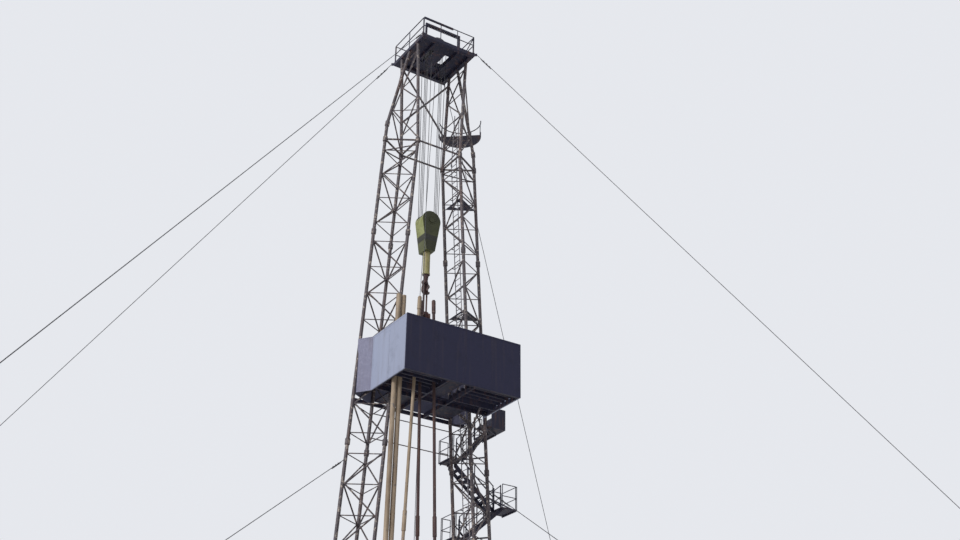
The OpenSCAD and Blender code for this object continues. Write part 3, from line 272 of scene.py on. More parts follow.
def cast_concrete(name):
    """Cast concrete: clouded grey with patches of small pores and rain stains."""
    s = Shade(name, 0.85)
    cloud = s.ramp(s.noise(3.0, 8, 0.6), 0.3, 0.7)
    base = s.mix(cloud, rgb(0.40, 0.39, 0.36), rgb(0.60, 0.58, 0.54))
    pores = s.add("TexVoronoi", {"Vector": s.place, "Scale": 110.0})
    patches = s.ramp(s.noise(11.0, 3), 0.50, 0.62)
    sound = s.math("SUBTRACT", 1.0, s.math("MULTIPLY", s.ramp(pores, 0.12, 0.24, 1, 0), patches))
    base = s.mix(sound, rgb(0.22, 0.21, 0.19), base)
    stain = s.ramp(s.noise(2.2, 6, 0.7, (1, 1, 0.35)), 0.52, 0.72, 0, 0.5)
    base = s.mix(stain, base, rgb(0.27, 0.24, 0.20))
    s.bump(s.math("ADD", sound, s.noise(25.0, 6)), 0.4, 0.004)
    return s.finish(base, 0.85)


def block_paint(name):
    """Travelling block: pale olive with one black band; painted shade darkens its cheeks, its foot and its
    shoulder.
    """
    s = Shade(name, 0.45)
    lo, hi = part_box("travelling_block")
    height = hi.z - lo.z
    up = s.math("DIVIDE", s.math("SUBTRACT", s.axis("Z"), lo.z), height)
    cloud = s.ramp(s.noise(4.0, 6, 0.6), 0.3, 0.7)
    base = s.mix(cloud, rgb(0.25, 0.27, 0.10), rgb(0.34, 0.36, 0.16))
    # Painted shade: the part below the band and the shoulder at the top are darkened, in patches, as if in
    # shade
    low_part = s.ramp(up, 0.24, 0.33, 1.0, 0.0)
    foot = s.math("MULTIPLY", low_part, s.ramp(s.noise(5.0, 5, 0.65), 0.25, 0.6, 0.92, 0.7))
    high_part = s.ramp(up, 0.80, 0.95)
    shoulder_shade = s.math("MULTIPLY", high_part, s.ramp(s.noise(4.0, 5, 0.65), 0.3, 0.7, 0.85, 0.45))
    base = s.mix(s.math("MAXIMUM", foot, shoulder_shade), base, rgb(0.055, 0.060, 0.030))
    # Painted shade: the broad cheeks facing +Y and -Y are darkened, in patches, as if in shade
    boss = 0.017
    cheek_shade = s.ramp(s.math("ABSOLUTE", s.axis("Y")), hi.y - boss - 0.003, hi.y - boss)
    cheek_shade_mottle = s.ramp(s.noise(3.0, 6, 0.7), 0.30, 0.75, 1.0, 0.78)
    base = s.mix(s.math("MULTIPLY", cheek_shade, cheek_shade_mottle), base, rgb(0.022, 0.024, 0.012))
    band = s.math("MULTIPLY", s.ramp(up, 0.24, 0.255), s.ramp(up, 0.38, 0.395, 1, 0))
    base = s.mix(s.math("MULTIPLY", band, 0.92), base, rgb(0.03, 0.03, 0.028))
    chips = s.ramp(s.noise(18.0, 8, 0.7), 0.60, 0.66)
    base = s.mix(s.math("MULTIPLY", chips, 0.8), base, rgb(0.09, 0.075, 0.06))
    grease = s.ramp(s.noise(6.0, 6, 0.7, (1, 1, 0.2)), 0.54, 0.7, 0, 0.7)
    base = s.mix(grease, base, rgb(0.06, 0.055, 0.03))
    fine = s.noise(80.0, 3)
    s.bump(s.math("ADD", fine, s.math("MULTIPLY", chips, -1.5)), 0.3, 0.002)
    return s.finish(base, s.ramp(fine, 0.3, 0.7, 0.35, 0.6))


TAN_EDGE = rgb(0.34, 0.29, 0.25)
MATERIALS = {
    "mast_steel": painted("mast_steel", rgb(0.095, 0.080, 0.090), TAN_EDGE, 0.5),
    "dark_steel": painted("dark_steel", rgb(0.020, 0.020, 0.045), rgb(0.10, 0.085, 0.085), 0.2),
    "ladder_steel": painted("ladder_steel", rgb(0.24, 0.23, 0.26), TAN_EDGE, 0.4),
    "dark_sheet": weathered_sheet("dark_sheet", rgb(0.016, 0.016, 0.045), rgb(0.035, 0.028, 0.045)),
    "pale_sheet": weathered_sheet("pale_sheet", rgb(0.30, 0.33, 0.44), rgb(0.20, 0.20, 0.25)),
    # grey_sheet is a darker copy of the pale sheet: painted shade for the wall panel that faces away from
    # the sun
    "grey_sheet": weathered_sheet("grey_sheet", rgb(0.11, 0.11, 0.17), rgb(0.07, 0.06, 0.08)),
    "drill_pipe": mill_pipe("drill_pipe"),
    "base_steel": painted("base_steel", rgb(0.13, 0.19, 0.30), rgb(0.20, 0.15, 0.12), 0.35),
    "floor_plate": chequer_plate("floor_plate", rgb(0.20, 0.18, 0.165), rgb(0.15, 0.11, 0.08)),
    "rail_paint": painted("rail_paint", rgb(0.55, 0.40, 0.05), rgb(0.14, 0.10, 0.07), 0.3),
    "machine_green": painted("machine_green", rgb(0.07, 0.15, 0.11), rgb(0.12, 0.10, 0.08), 0.25, 0.4),
    "wire_rope": wire_rope("wire_rope", rgb(0.17, 0.17, 0.18)),
    "concrete": cast_concrete("concrete"),
    "block_paint": block_paint("block_paint"),
    "sheave_steel": painted("sheave_steel", rgb(0.14, 0.14, 0.15), rgb(0.35, 0.34, 0.33), 0.3, 0.4, 0.5),
    "hook_paint": painted("hook_paint", rgb(0.36, 0.34, 0.15), rgb(0.10, 0.08, 0.06), 0.25, 0.4),
    "link_steel": painted("link_steel", rgb(0.075, 0.045, 0.045), rgb(0.16, 0.12, 0.11), 0.3, 0.5, 0.3),
    "elevator_paint": painted("elevator_paint", rgb(0.085, 0.025, 0.025), rgb(0.10, 0.07, 0.065), 0.4),
}


# Pieces
def mesh_piece(name, bm, slot, body="root", smooth=False):
    """Turns a bmesh into a named object with its slot's material and lets it ride on a body."""
    mesh = bpy.data.meshes.new(name)
    bmesh.ops.recalc_face_normals(bm, faces=bm.faces)
    bm.to_mesh(mesh)
    bm.free()
    mesh.materials.append(MATERIALS[slot])
    for polygon in mesh.polygons:
        polygon.use_smooth = smooth
    piece = bpy.data.objects.new(name, mesh)
    bpy.context.scene.collection.objects.link(piece)
    if body:
        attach(piece, body)
    return piece


def turned_to(direction):
    """Rotation that turns +Z to a direction."""
    return UP.rotation_difference(Vector(direction).normalized()).to_matrix().to_4x4()


def add_loop(bm, matrix, radius, height, sides):
    """A ring of points round the Z axis of a matrix."""
    return [bm.verts.new(matrix @ Vector((radius * math.cos(2 * math.pi * k / sides),
                                          radius * math.sin(2 * math.pi * k / sides), height)))
            for k in range(sides)]


def join_loops(bm, loops):
    """Faces between each ring of points and the next."""
    for low, high in zip(loops, loops[1:]):
        for k in range(len(low)):
            turn = (k + 1) % len(low)
            bm.faces.new((low[k], low[turn], high[turn], high[k]))


def add_stud(bm, place, direction, radius, height, sides=BOLT_SIDES):
    """A bolt or rivet head: a short prism with a chamfered crown, its foot 1 mm inside the surface."""
    # The edge's height and the crown's radius are shares of the head's
    sink, edge_h, crown_r = 0.001, 0.75, 0.72
    matrix = Matrix.Translation(place) @ turned_to(direction)
    outline = ((radius, -sink), (radius, height * edge_h), (radius * crown_r, height))
    loops = [add_loop(bm, matrix, r, z, sides) for r, z in outline]
    join_loops(bm, loops)
    bm.faces.new(loops[-1])
    bm.faces.new(list(reversed(loops[0])))


def add_tube(bm, points, radius, sides=12):
    """A closed tube along a list of points, with rings square to the line."""
    loops = []
    for i, point in enumerate(points):
        ahead = points[min(i + 1, len(points) - 1)] - points[max(i - 1, 0)]
        loops.append(add_loop(bm, Matrix.Translation(point) @ turned_to(ahead), radius, 0.0, sides))
    join_loops(bm, loops)
    bm.faces.new(list(reversed(loops[0])))
    bm.faces.new(loops[-1])


def add_block(bm, matrix, size, bevel):
    """A block of a size in its matrix's axes, with its edges broken."""
    made = bmesh.ops.create_cube(bm, size=1.0, matrix=matrix @ Matrix.Diagonal((*size, 1)))
    bmesh.ops.bevel(bm, geom=[e for e in bm.edges if all(v in made["verts"] for v in e.verts)],
                    offset=bevel, segments=1, affect="EDGES")


def add_slab(bm, centre, size, bevel=0.002):
    """A plate or block along the axes, with its edges broken."""
    add_block(bm, Matrix.Translation(centre), size, bevel)


def add_turned(bm, centre, direction, profile, sides=40):
    """A closed ring turned round an axis: profile lists (radius, height along the axis)."""
    matrix = Matrix.Translation(centre) @ turned_to(direction)
    loops = [add_loop(bm, matrix, r, z, sides) for r, z in profile]
    join_loops(bm, loops + loops[:1])


def add_bolt_ring(bm, centre, direction, radius, count, head, rise=0.9):
    """Bolt heads evenly round a circle: head is their radius, and rise times that their height."""
    turn = turned_to(direction)
    for k in range(count):
        angle = 2 * math.pi * (k + 0.5) / count
        add_stud(bm, centre + turn @ Vector((radius * math.cos(angle), radius * math.sin(angle), 0)),
                 direction, head, head * rise)


def half_turn(steps=12):
    """(cosine, sine) of evenly spaced angles over half a turn."""
    return [(math.cos(math.pi * k / steps), math.sin(math.pi * k / steps)) for k in range(steps + 1)]


# Camera, light and floor
def place_camera():
    """The camera at the photo's place and angle."""
    data = bpy.data.cameras.new("photo_camera")
    data.lens = LENS_MM
    data.sensor_width = SENSOR_MM
    data.clip_end = 500
    camera = bpy.data.objects.new("photo_camera", data)
    bpy.context.scene.collection.objects.link(camera)
    forward = Vector((math.sin(CAMERA_HEADING) * math.cos(CAMERA_PITCH),
                      math.cos(CAMERA_HEADING) * math.cos(CAMERA_PITCH), math.sin(CAMERA_PITCH)))
    level = forward.cross(UP).normalized()
    upright = level.cross(forward)
    right = math.cos(CAMERA_ROLL) * level + math.sin(CAMERA_ROLL) * upright
    up = -math.sin(CAMERA_ROLL) * level + math.cos(CAMERA_ROLL) * upright
    turn = Matrix((right, up, -forward)).transposed()
    camera.matrix_world = Matrix.Translation(CAMERA_PLACE) @ turn.to_4x4()
    bpy.context.scene.camera = camera


def add_sun(name, direction_from, strength, angle):
    """A soft sun that shines from a direction."""
    data = bpy.data.lights.new(name, "SUN")
    data.energy = strength
    data.angle = angle
    lamp = bpy.data.objects.new(name, data)
    bpy.context.scene.collection.objects.link(lamp)
    lamp.matrix_world = turned_to(direction_from)


def light_world():
    """Even fill, and a pale backdrop that camera, mirror and see-through rays meet."""
    world = bpy.data.worlds.new("studio")
    bpy.context.scene.world = world
    world.use_nodes = True
    tree = world.node_tree
    path = tree.nodes.new("ShaderNodeLightPath")
    seen = tree.nodes.new("ShaderNodeMath")
    seen.operation = "MAXIMUM"
    tree.links.new(path.outputs["Is Camera Ray"], seen.inputs[0])
    glossy = tree.nodes.new("ShaderNodeMath")
    glossy.operation = "MAXIMUM"
    tree.links.new(path.outputs["Is Glossy Ray"], glossy.inputs[0])
    tree.links.new(path.outputs["Is Transmission Ray"], glossy.inputs[1])
    tree.links.new(glossy.outputs[0], seen.inputs[1])
    strength = tree.nodes.new("ShaderNodeMix")
    tree.links.new(seen.outputs[0], strength.inputs[0])
    strength.inputs[2].default_value = FILL_STRENGTH
    strength.inputs[3].default_value = BACKDROP_STRENGTH
    background = tree.nodes["Background"]
    background.inputs["Color"].default_value = rgb(0.93, 0.95, 1.0)
    tree.links.new(strength.outputs[0], background.inputs["Strength"])


def lay_floor():
    """A wide pale floor just under the part."""
    half, sink = 400.0, 0.001
    bm = bmesh.new()
    bm.faces.new([bm.verts.new((x, y, -sink)) for x, y in
                  ((-half, -half), (half, -half), (half, half), (-half, half))])
    mesh = bpy.data.meshes.new("studio_floor")
    bm.to_mesh(mesh)
    bm.free()
    s = Shade("studio_floor", 0.9)
    mesh.materials.append(s.finish(rgb(0.80, 0.80, 0.80), 0.9))
    floor = bpy.data.objects.new("studio_floor", mesh)
    bpy.context.scene.collection.objects.link(floor)


# Reading the frame
def islands(node_name):
    """The separate solids of a CAD node, each as a list of its points."""
    weld = 1e-5
    bm = bmesh.new()
    bm.from_mesh(frame["nodes"][node_name].data)
    bmesh.ops.remove_doubles(bm, verts=bm.verts, dist=weld)
    seen, groups = set(), []
    for start in bm.verts:
        if start in seen:
            continue
        seen.add(start)
        group, reach = [], [start]
        while reach:
            vertex = reach.pop()
            group.append(vertex.co.copy())
            for edge in vertex.link_edges:
                other = edge.other_vert(vertex)
                if other not in seen:
                    seen.add(other)
                    reach.append(other)
        groups.append(group)
    bm.free()
    return groups


def middle(points):
    """Mean of some points."""
    return sum(points, Vector()) / len(points)


def ends_of(points, near=0.06):
    """(upper end, lower end) of the centreline of a straight slender solid."""
    top = max(points, key=lambda p: p.z)
    foot = min(points, key=lambda p: p.z)
    return (middle([p for p in points if (p - top).length < near]),
            middle([p for p in points if (p - foot).length < near]))


def feet_of(node_name, near=0.04):
    """Centres of the posts that stand on the lowest level of a node."""
    level_slack = 0.002
    points = [v.co for v in frame["nodes"][node_name].data.vertices]
    low = min(p.z for p in points)
    feet = []
    for p in points:
        if p.z > low + level_slack:
            continue
        for foot in feet:
            if (foot[0] - p).length < near:
                foot.append(p)
                break
        else:
            feet.append([p])
    return [middle(foot) for foot in feet]


# Ropes
def rope_falls():
    """Eight rope falls, with points at their ends alone."""
    bm = bmesh.new()
    tops, feet = [], []
    for points in islands("hoist_lines"):
        top, foot = ends_of(points)
        add_tube(bm, [top, foot], ROPE_R, ROPE_SIDES)
        tops.append(top)
        feet.append(foot)
    falls = mesh_piece("rope_falls", bm, "wire_rope", body=None, smooth=True)
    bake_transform(falls)
    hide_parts("hoist_lines")
    return tops, feet


def rope_wraps(name, body, ends, more_y, above):
    """Half turns of rope over the crown's sheaves or under the block's, at the falls' ends and at more_y."""
    steps = 28
    bm = bmesh.new()
    radius = sum(abs(p.x) for p in ends) / len(ends)
    axis_z = middle(ends).z
    rise = radius if above else -radius
    for y in sorted(set(round(p.y, 3) for p in ends) | set(more_y)):
        line = [Vector((radius * c, y, axis_z + rise * s)) for c, s in half_turn(steps)]
        add_tube(bm, line, ROPE_R, ROPE_SIDES)
    mesh_piece(name, bm, "wire_rope", body, smooth=True)


def drum_rope():
    """Rope wound side by side on the drawworks drum, from one flange to the other."""
    lo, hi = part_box("drawworks")
    _, foot = ends_of(islands("fast_line")[0])
    drum_y = (lo.y + hi.y) / 2
    winding_r = drum_y - foot.y
    half_w, pitch, steps, sides = 0.40, 2.02 * ROPE_R, 24, 8
    turns = int(2 * half_w / pitch)
    bm = bmesh.new()
    line = []
    for k in range(turns * steps + 1):
        angle = 2 * math.pi * k / steps
        line.append(Vector((-half_w + 2 * half_w * k / (turns * steps),
                            drum_y - winding_r * math.cos(angle), foot.z + winding_r * math.sin(angle))))
    add_tube(bm, line, ROPE_R, sides)
    mesh_piece("drum_rope", bm, "wire_rope", smooth=True)


def add_clip(bm, place, along, side, rope_r):
    """One wire clip, sized in rope radii: a saddle under the rope pair, a U bolt over it and two nuts."""
    saddle_size, saddle_drop, saddle_bevel = (4.8, 1.8, 2.8), 1.5, 0.25
    leg_reach, leg_r, bend_lift, leg_drop = 1.7, 0.38, 0.2, 3.2
    nut_r, nut_h, nut_drop = 0.8, 0.6, 2.4
    across = along.cross(side).normalized()
    matrix = Matrix.Translation(place) @ Matrix((side, across, along)).transposed().to_4x4()
    saddle = [rope_r * share for share in saddle_size]
    add_block(bm, matrix @ Matrix.Translation((0, -rope_r * saddle_drop, 0)), saddle, rope_r * saddle_bevel)
    leg = rope_r * leg_reach
    bend = [matrix @ Vector((leg * c, rope_r * bend_lift + leg * s, 0)) for c, s in half_turn()]
    feet = [matrix @ Vector((s * leg, -rope_r * leg_drop, 0)) for s in (1, -1)]
    add_tube(bm, [feet[0]] + bend + [feet[1]], rope_r * leg_r, sides=6)
    for s in (1, -1):
        nut_place = matrix @ Vector((s * leg, -rope_r * nut_drop, 0))
        add_stud(bm, nut_place, -across, rope_r * nut_r, rope_r * nut_h)


def add_shackle(bm, eye, along, side):
    """A bow round the rope's end, with its bolt through the eye and a head and a nut on the bolt's ends."""
    half_gap, reach, spare, head_sink = 0.024, 0.045, 0.012, 0.002
    bolt_r, bow_r, head = 0.007, 0.006, (0.014, 0.010)
    add_tube(bm, [eye - side * (half_gap + spare), eye + side * (half_gap + spare)], bolt_r, sides=10)
    for s in (-1, 1):
        add_stud(bm, eye + side * s * (half_gap + spare - head_sink), side * s, *head)
    bend = [eye + along * (reach + half_gap * s) - side * half_gap * c for c, s in half_turn()]
    add_tube(bm, [eye - side * half_gap] + bend + [eye + side * half_gap], bow_r, sides=8)


def add_tail(tails, clips, start, along, side, offset, first_clip):
    """A guy's end turned back and laid beside it, and the clips that hold the two together."""
    clip_count, clip_pitch, lead = 3, 0.11, 0.3
    # The tail leaves the guy at a share of the way to the first clip, and bends just before it
    leave, bend, bend_offset, tail_r = 0.6, 0.06, 0.8, 0.95 * GUY_R
    tail = [start + along * first_clip * leave, start + along * (first_clip - bend) + offset * bend_offset,
            start + along * first_clip + offset,
            start + along * (first_clip + clip_pitch * clip_count) + offset]
    add_tube(tails, tail, tail_r, sides=8)
    for k in range(clip_count):
        place = start + along * (first_clip + clip_pitch * (k + lead)) + offset / 2
        add_clip(clips, place, along, side, GUY_R)


def add_turnbuckle(bm, foot, down, side):
    """A turnbuckle above a guy's lower end: two side rods, and a nut and a screw at either end."""
    start, length, rod_gap, rod_r = 0.28, 0.42, 0.020, 0.007
    nut_half, nut_r, screw_l, screw_r, sides = 0.03, 0.028, 0.16, 0.012, 8
    near_end = foot - down * start
    for s in (1, -1):
        shift = side * s * rod_gap
        add_tube(bm, [near_end + shift, near_end - down * length + shift], rod_r, sides)
    for k, way in ((0, 1), (1, -1)):
        at = near_end - down * length * k
        add_tube(bm, [at - down * nut_half, at + down * nut_half], nut_r, sides)
        add_tube(bm, [at, at + down * screw_l * way], screw_r, sides)


def guy_fittings():
    """Clips on the turned-back ends of every guy, and a shackle and a turnbuckle at its anchor."""
    first_clip_top, first_clip_foot, pair_gap = 0.22, 1.05, 2.05
    clips, tails, buckles = bmesh.new(), bmesh.new(), bmesh.new()
    for node_name in ("crown_guys", "lower_guys"):
        for points in islands(node_name):
            top, foot = ends_of(points)
            down = (foot - top).normalized()
            side = down.cross(UP).normalized()
            lift = side.cross(down).normalized()
            offset = -lift * GUY_R * pair_gap
            add_tail(tails, clips, top, down, side, offset, first_clip_top)
            add_tail(tails, clips, foot, -down, side, offset, first_clip_foot)
            add_shackle(buckles, foot, -down, side)
            add_turnbuckle(buckles, foot, down, side)
    mesh_piece("guy_clips", clips, "sheave_steel")
    mesh_piece("guy_tails", tails, "wire_rope", smooth=True)
    mesh_piece("guy_turnbuckles", buckles, "sheave_steel")


# Bolts, plates and sheet trim
def collar_bolts():
    """Two rows of bolts on the flats of every collar of the mast chords."""
    flats, row_rise, margin, head = 8, 0.036, 0.012, (0.010, 0.011)
    bm = bmesh.new()
    for node_name in frame["nodes"]:
        if not node_name.endswith("_chord"):
            continue
        points = [v.co for v in frame["nodes"][node_name].data.vertices]
        for level in JOINT_LEVELS:
            ring = [p for p in points if abs(p.z - level) < COLLAR_H / 2 + margin]
            if len(ring) < flats:
                continue
            axis = middle(ring)
            reach = sum(math.hypot(p.x - axis.x, p.y - axis.y) for p in ring) / len(ring)
            flat = reach * math.cos(math.pi / flats)
            for k in range(flats):
                angle = 2 * math.pi * (k + 0.5) / flats + math.pi / flats
                out = Vector((math.cos(angle), math.sin(angle), 0))
                for dz in (-row_rise, row_rise):
                    add_stud(bm, Vector((axis.x, axis.y, level + dz)) + out * flat, out, *head)
    mesh_piece("collar_bolts", bm, "mast_steel")


def wall_trim(name, slot, corner, along, out, length, height, seam_pitch):
    """Cover strips over the sheet joints, an angle rim along top and foot, and rows of rivets."""
    clearance, end_inset, row_half, bevel = 0.002, 0.03, 0.012, 0.0009
    strips, rivets = bmesh.new(), bmesh.new()
    seams = max(1, round(length / seam_pitch))
    turn = Matrix((along, UP, out)).transposed().to_4x4()

    def add_strip(start, u, v):
        place = start + along * u / 2 + UP * v / 2 + out * SEAM_T / 2
        add_block(strips, Matrix.Translation(place) @ turn, (u, v, SEAM_T), bevel)

    def add_rivet(u, v):
        add_stud(rivets, corner + along * u + UP * v + out * SEAM_T, out, *RIVET_HEAD, RIVET_SIDES)

    for z in (0.0, height - RIM_W):
        add_strip(corner + UP * z, length, RIM_W)
    rows = int((height - 2 * end_inset) / RIVET_PITCH)
    for k in range(seams + 1):
        at = (length - SEAM_W) * k / seams
        add_strip(corner + along * at + UP * (RIM_W + clearance), SEAM_W, height - 2 * (RIM_W + clearance))
        for r in range(rows + 1):
            for side in (-row_half, row_half):
                add_rivet(at + SEAM_W / 2 + side, end_inset + (height - 2 * end_inset) * r / rows)
    for k in range(int(length / RIVET_PITCH)):
        for z in (RIM_W / 2, height - RIM_W / 2):
            add_rivet(RIVET_PITCH * (k + 0.5), z)
    mesh_piece(name + "_seams", strips, slot)
    mesh_piece(name + "_rivets", rivets, slot)


def wind_wall_trim():
    """Joint strips and rivets on the racking board's front and side walls."""
    seam_pitch = 0.62
    lo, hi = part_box("front_wind_wall")
    wall_trim("front_wall", "dark_sheet", lo, ALONG_X, -ALONG_Y, hi.x - lo.x, hi.z - lo.z, seam_pitch)
    for name, way in (("left_wall", -1), ("right_wall", 1)):
        lo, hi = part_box(name.replace("wall", "wind_wall"))
        corner = Vector((lo.x if way < 0 else hi.x, lo.y, lo.z))
        wall_trim(name, "pale_sheet", corner, ALONG_Y, ALONG_X * way, hi.y - lo.y, hi.z - lo.z, seam_pitch)


def block_bolts():
    """Ring of bolts round the sheave pin on both cheeks, and a row along the block's edges."""
    ring_r, ring_bolts, ring_head = 0.095, 10, (0.009, 0.009)
    edge_bolts, first_bolt, bolt_step, edge_head = 6, 0.05, 0.10, (0.008, 0.008)
    foot_half, flare, edge_inset = 0.112, 0.10 / 0.84, 0.022
    bm = bmesh.new()
    lo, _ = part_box("travelling_block")
    axis = middle(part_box("block_sheaves"))
    for s in (-1, 1):
        out = ALONG_Y * s
        for k in range(ring_bolts):
            angle = 2 * math.pi * k / ring_bolts
            add_stud(bm, Vector((axis.x + ring_r * math.cos(angle), s * CHEEK_Y,
                                 axis.z + ring_r * math.sin(angle))), out, *ring_head)
        for k in range(edge_bolts):
            rise = first_bolt + k * bolt_step
            half = foot_half + flare * rise - edge_inset
            for side in (-1, 1):
                add_stud(bm, Vector((side * half, s * CHEEK_Y, lo.z + rise)), out, *edge_head)
    mesh_piece("block_bolts", bm, "block_paint", "block")


def rail_feet():
    """Foot flange with two bolts under every post of the floor's and the crown's railings."""
    flange_l, flange_w, flange_t, bevel = 0.075, 0.032, 0.005, 0.001
    bolt_gap, head = 0.027, (0.006, 0.006)
    for node_name, slot in (("floor_railing", "rail_paint"), ("crown_railing", "dark_steel")):
        bm = bmesh.new()
        for foot in feet_of(node_name):
            on_side = abs(foot.x) > abs(foot.y)
            along = ALONG_Y if on_side else ALONG_X
            size = (flange_w, flange_l, flange_t) if on_side else (flange_l, flange_w, flange_t)
            add_slab(bm, foot + UP * flange_t / 2, size, bevel)
            for s in (-1, 1):
                add_stud(bm, foot + along * s * bolt_gap + UP * flange_t, UP, *head)
        mesh_piece(node_name + "_feet", bm, slot)


def drawworks_trim():
    """Brake bands, bearing caps, bolts of the side frames and the base, and the brake lever."""
    lo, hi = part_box("drawworks")
    mid_y = (lo.y + hi.y) / 2
    flange_x, band_in, band_out, band_half = 0.44, 0.331, 0.352, 0.034
    band_bolts, band_turn, band_head = 10, 0.3, (0.010, 0.008)
    cap_t, cap_ring_r, cap_bolts, cap_head = 0.030, 0.088, 8, 0.011
    frame_x, frame_reach, frame_bolts, bolt_step, frame_head = 0.62, 0.34, 6, 0.125, (0.010, 0.009)
    base_x, base_top, base_bolts_y, base_head = 0.74, 0.10, (-0.40, -0.15, 0.10, 0.35), (0.016, 0.014)
    band = [(band_in, -band_half), (band_out, -band_half), (band_out, band_half), (band_in, band_half)]
    cap = [(0.05, -0.001), (0.13, -0.001), (0.13, 0.022), (0.115, cap_t), (0.05, cap_t)]
    shaft_end = [(0.001, -0.001), (0.05, -0.001), (0.05, 0.045), (0.001, 0.045)]
    bands, caps = bmesh.new(), bmesh.new()
    for s in (-1, 1):
        side = ALONG_X * s
        hub = Vector((s * flange_x, mid_y, DRUM_Z))
        add_turned(bands, hub, side, band, sides=64)
        for k in range(band_bolts):
            angle = 2 * math.pi * k / band_bolts + band_turn
            out = Vector((0, math.cos(angle), math.sin(angle)))
            add_stud(bands, hub + out * band_out, out, *band_head)
        face = Vector((s * frame_x, mid_y, DRUM_Z))
        add_turned(caps, face, side, cap)
        add_turned(caps, face, side, shaft_end, sides=32)
        add_bolt_ring(caps, face + side * cap_t, side, cap_ring_r, cap_bolts, cap_head)
        for dy in (-frame_reach, frame_reach):
            for k in range(frame_bolts):
                add_stud(caps, face + Vector((0, dy, bolt_step * k - frame_reach)), side, *frame_head)
        for dy in base_bolts_y:
            add_stud(caps, Vector((s * base_x, mid_y + dy, lo.z + base_top)), UP, *base_head)
    pivot = Vector((-0.70, mid_y - 0.30, lo.z + 0.16))
    bracket_drop, bracket_size, lever_r = 0.03, (0.06, 0.09, 0.12), 0.012
    lever_line = ((0, 0, 0.02), (-0.02, -0.05, 0.30), (-0.05, -0.14, 0.56))
    add_slab(caps, pivot - UP * bracket_drop, bracket_size)
    add_tube(caps, [pivot + Vector(step) for step in lever_line], lever_r, sides=10)
    mesh_piece("brake_bands", bands, "sheave_steel")
    mesh_piece("drawworks_fittings", caps, "machine_green")


def rotary_trim():
    """Master bushing round the bore, and the bolts of the turntable and of the housing."""
    top = Vector((0, 0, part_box("rotary_table")[1].z))
    housing_drop, housing_x, housing_y, housing_head = 0.04, 0.39, 0.34, (0.014, 0.012)
    table_ring_r, table_bolts, table_head = 0.275, 12, 0.012
    bushing = [(0.162, -0.010), (0.215, -0.002), (0.215, 0.008), (0.172, 0.008), (0.162, -0.002)]
    rings, bolts = bmesh.new(), bmesh.new()
    add_turned(rings, top, UP, bushing, sides=64)
    add_bolt_ring(bolts, top, UP, table_ring_r, table_bolts, table_head)
    for x in (-housing_x, housing_x):
        for y in (-housing_y, 0.0, housing_y):
            add_stud(bolts, top + Vector((x, y, -housing_drop)), UP, *housing_head)
    mesh_piece("master_bushing", rings, "sheave_steel")
    mesh_piece("rotary_bolts", bolts, "sheave_steel")


def add_gusset(bm, foot, out, side, reach, height, half_t):
    """A three-cornered plate beside a post, which stands out from the first reach to the second."""
    corners = [out * reach[0], out * reach[1], out * reach[0] + UP * height]
    back, front = ([bm.verts.new(foot + corner + side * s * half_t) for corner in corners] for s in (-1, 1))
    bm.faces.new(back)
    bm.faces.new(front[::-1])
    for k in range(3):
        turn = (k + 1) % 3
        bm.faces.new((back[turn], back[k], front[k], front[turn]))


def dead_line_trim():
    """Bolted foot plate with gussets for the dead line's post, and jaws that grip the rope on top."""
    foot = feet_of("dead_line", near=0.2)[0]
    plate_w, plate_t, bolt_reach = 0.17, 0.012, 0.065
    gusset_reach, gusset_h, gusset_half_t, gusset_sink = (0.039, 0.078), 0.085, 0.004, 0.001
    cap_w, cap_t, cap_z, cap_top = 0.10, 0.012, 0.004, 0.010
    cap_bolt, cap_head = 0.038, (0.007, 0.007)
    jaw, jaw_x, jaw_z, jaw_face, jaw_bevel = (0.026, 0.060, 0.094), 0.017, 0.055, 0.030, 0.004
    jaw_bolts_y, jaw_bolts_z, jaw_head = (-0.019, 0.019), (0.030, 0.080), (0.008, 0.008)
    plates, jaws = bmesh.new(), bmesh.new()
    add_slab(plates, foot + UP * plate_t / 2, (plate_w, plate_w, plate_t))
    for out in (ALONG_X, ALONG_Y, -ALONG_X, -ALONG_Y):
        side = UP.cross(out)
        gusset_foot = foot + UP * (plate_t - gusset_sink)
        add_gusset(plates, gusset_foot, out, side, gusset_reach, gusset_h, gusset_half_t)
        add_stud(jaws, foot + (out + side) * bolt_reach + UP * plate_t, UP, *PLATE_HEAD)
    top = foot + UP * POST_H
    add_slab(jaws, top + UP * cap_z, (cap_w, cap_w, cap_t))
    for s in (-1, 1):
        add_slab(jaws, top + Vector((s * jaw_x, 0, jaw_z)), jaw, jaw_bevel)
        for y in jaw_bolts_y:
            for z in jaw_bolts_z:
                add_stud(jaws, top + Vector((s * jaw_face, y, z)), ALONG_X * s, *jaw_head)
        for y in (-cap_bolt, cap_bolt):
            add_stud(jaws, top + Vector((s * cap_bolt, y, cap_top)), UP, *cap_head)
    mesh_piece("dead_line_foot", plates, "base_steel")
    mesh_piece("dead_line_clamp", jaws, "sheave_steel")


def substructure_gussets():
    """Gusset plates with bolts where the side frames' posts meet the long beams."""
    plate_t, plate_l, plate_h, bevel = 0.006, 0.26, 0.24, 0.0015
    bolts_y, bolts_z = (-0.095, -0.032, 0.032, 0.095), (-0.085, 0.085)
    posts, end_inset = 4, 0.07
    plates, bolts = bmesh.new(), bmesh.new()
    for side in ("left", "right"):
        lo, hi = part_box(side + "_substructure")
        for x, out in ((lo.x, -1), (hi.x, 1)):
            for k in range(posts):
                y = lo.y + end_inset + (hi.y - lo.y - 2 * end_inset) * k / (posts - 1)
                for z in (lo.z + BEAM_H, hi.z - BEAM_H):
                    centre = Vector((x + out * plate_t / 2, y, z))
                    add_slab(plates, centre, (plate_t, plate_l, plate_h), bevel)
                    for dy in bolts_y:
                        for dz in bolts_z:
                            place = Vector((x + out * plate_t, y + dy, z + dz))
                            add_stud(bolts, place, ALONG_X * out, *PLATE_HEAD)
    mesh_piece("gusset_plates", plates, "base_steel")
    mesh_piece("gusset_bolts", bolts, "sheave_steel")


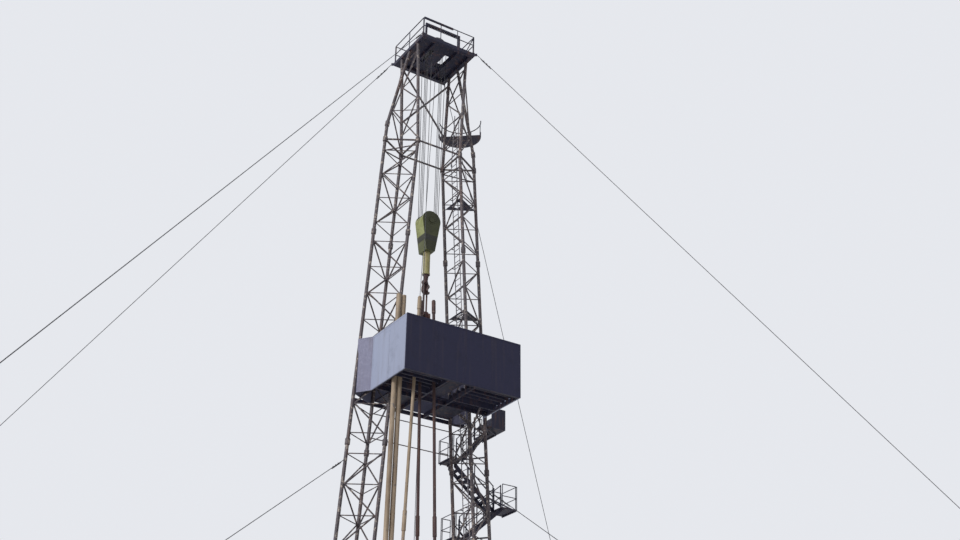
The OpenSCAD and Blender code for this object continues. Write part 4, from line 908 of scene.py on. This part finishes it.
def crown_trim():
    """Bearing caps with bolts at the ends of the crown shaft, and bolts along the beams that carry it."""
    beam_h, beam_inset, beam_head = 0.10, 0.025, (0.012, 0.011)
    beam_bolts_x = (-0.62, -0.45, -0.28, 0.28, 0.45, 0.62)
    axis_z = middle(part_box("crown_sheaves")).z
    beam_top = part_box("crown_block_frame")[0].z + beam_h
    cap_r, cap_t, cap_ring_r, cap_bolts, cap_head = 0.055, 0.014, 0.036, 4, 0.007
    cap = [(0.001, -0.001), (cap_r, -0.001), (cap_r, 0.010), (0.048, cap_t), (0.001, cap_t)]
    bm = bmesh.new()
    for s in (-1, 1):
        out = ALONG_Y * s
        face = Vector((0, s * SHAFT_END, axis_z))
        add_turned(bm, face, out, cap, sides=32)
        add_bolt_ring(bm, face + out * cap_t, out, cap_ring_r, cap_bolts, cap_head)
        for x in beam_bolts_x:
            add_stud(bm, Vector((x, s * (SHAFT_END - beam_inset), beam_top)), UP, *beam_head)
    mesh_piece("crown_bearing_bolts", bm, "sheave_steel")


# The scene
def split_faces(node_name, slots, is_second):
    """Gives the faces of one CAD node two materials: is_second(centre) says which faces get the second."""
    mesh = frame["nodes"][node_name].data
    mesh.materials.clear()
    for name in slots:
        mesh.materials.append(MATERIALS[name])
    for polygon in mesh.polygons:
        polygon.material_index = int(is_second(polygon.center))


def dress_frame():
    """Gives each CAD node the material of its slot, and a second one where a node has two finishes."""
    for part in frame["record"]["subparts"]:
        node = frame["nodes"][part["node"]]
        node.data.materials.clear()
        node.data.materials.append(MATERIALS[part["material_slot"]])
    anchor_top = 0.301
    split_faces("guy_anchors", ("concrete", "sheave_steel"), lambda c: c.z > anchor_top)
    barrel_l = 0.565
    barrel_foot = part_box("hook")[1].z - barrel_l
    split_faces("hook", ("hook_paint", "link_steel"), lambda c: c.z < barrel_foot)
    tan_reach = -0.75
    split_faces("pipe_stands", ("drill_pipe", "link_steel"), lambda c: c.x > tan_reach)
    post_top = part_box("dead_line")[0].z + POST_H + 0.010
    split_faces("dead_line", ("wire_rope", "base_steel"), lambda c: c.z < post_top)


place_camera()
light_world()
add_sun("key", SUN_FROM, SUN_STRENGTH, SUN_WIDTH)
lay_floor()
dress_frame()
fall_tops, fall_feet = rope_falls()
line_sheaves_y = (-0.23, 0.23)
rope_wraps("crown_rope_wraps", "root", fall_tops, line_sheaves_y, above=True)
rope_wraps("block_rope_wraps", "block", fall_feet, (), above=False)
drum_rope()
guy_fittings()
collar_bolts()
wind_wall_trim()
block_bolts()
rail_feet()
drawworks_trim()
rotary_trim()
dead_line_trim()
substructure_gussets()
crown_trim()

bpy.context.scene.view_settings.view_transform = "Standard"
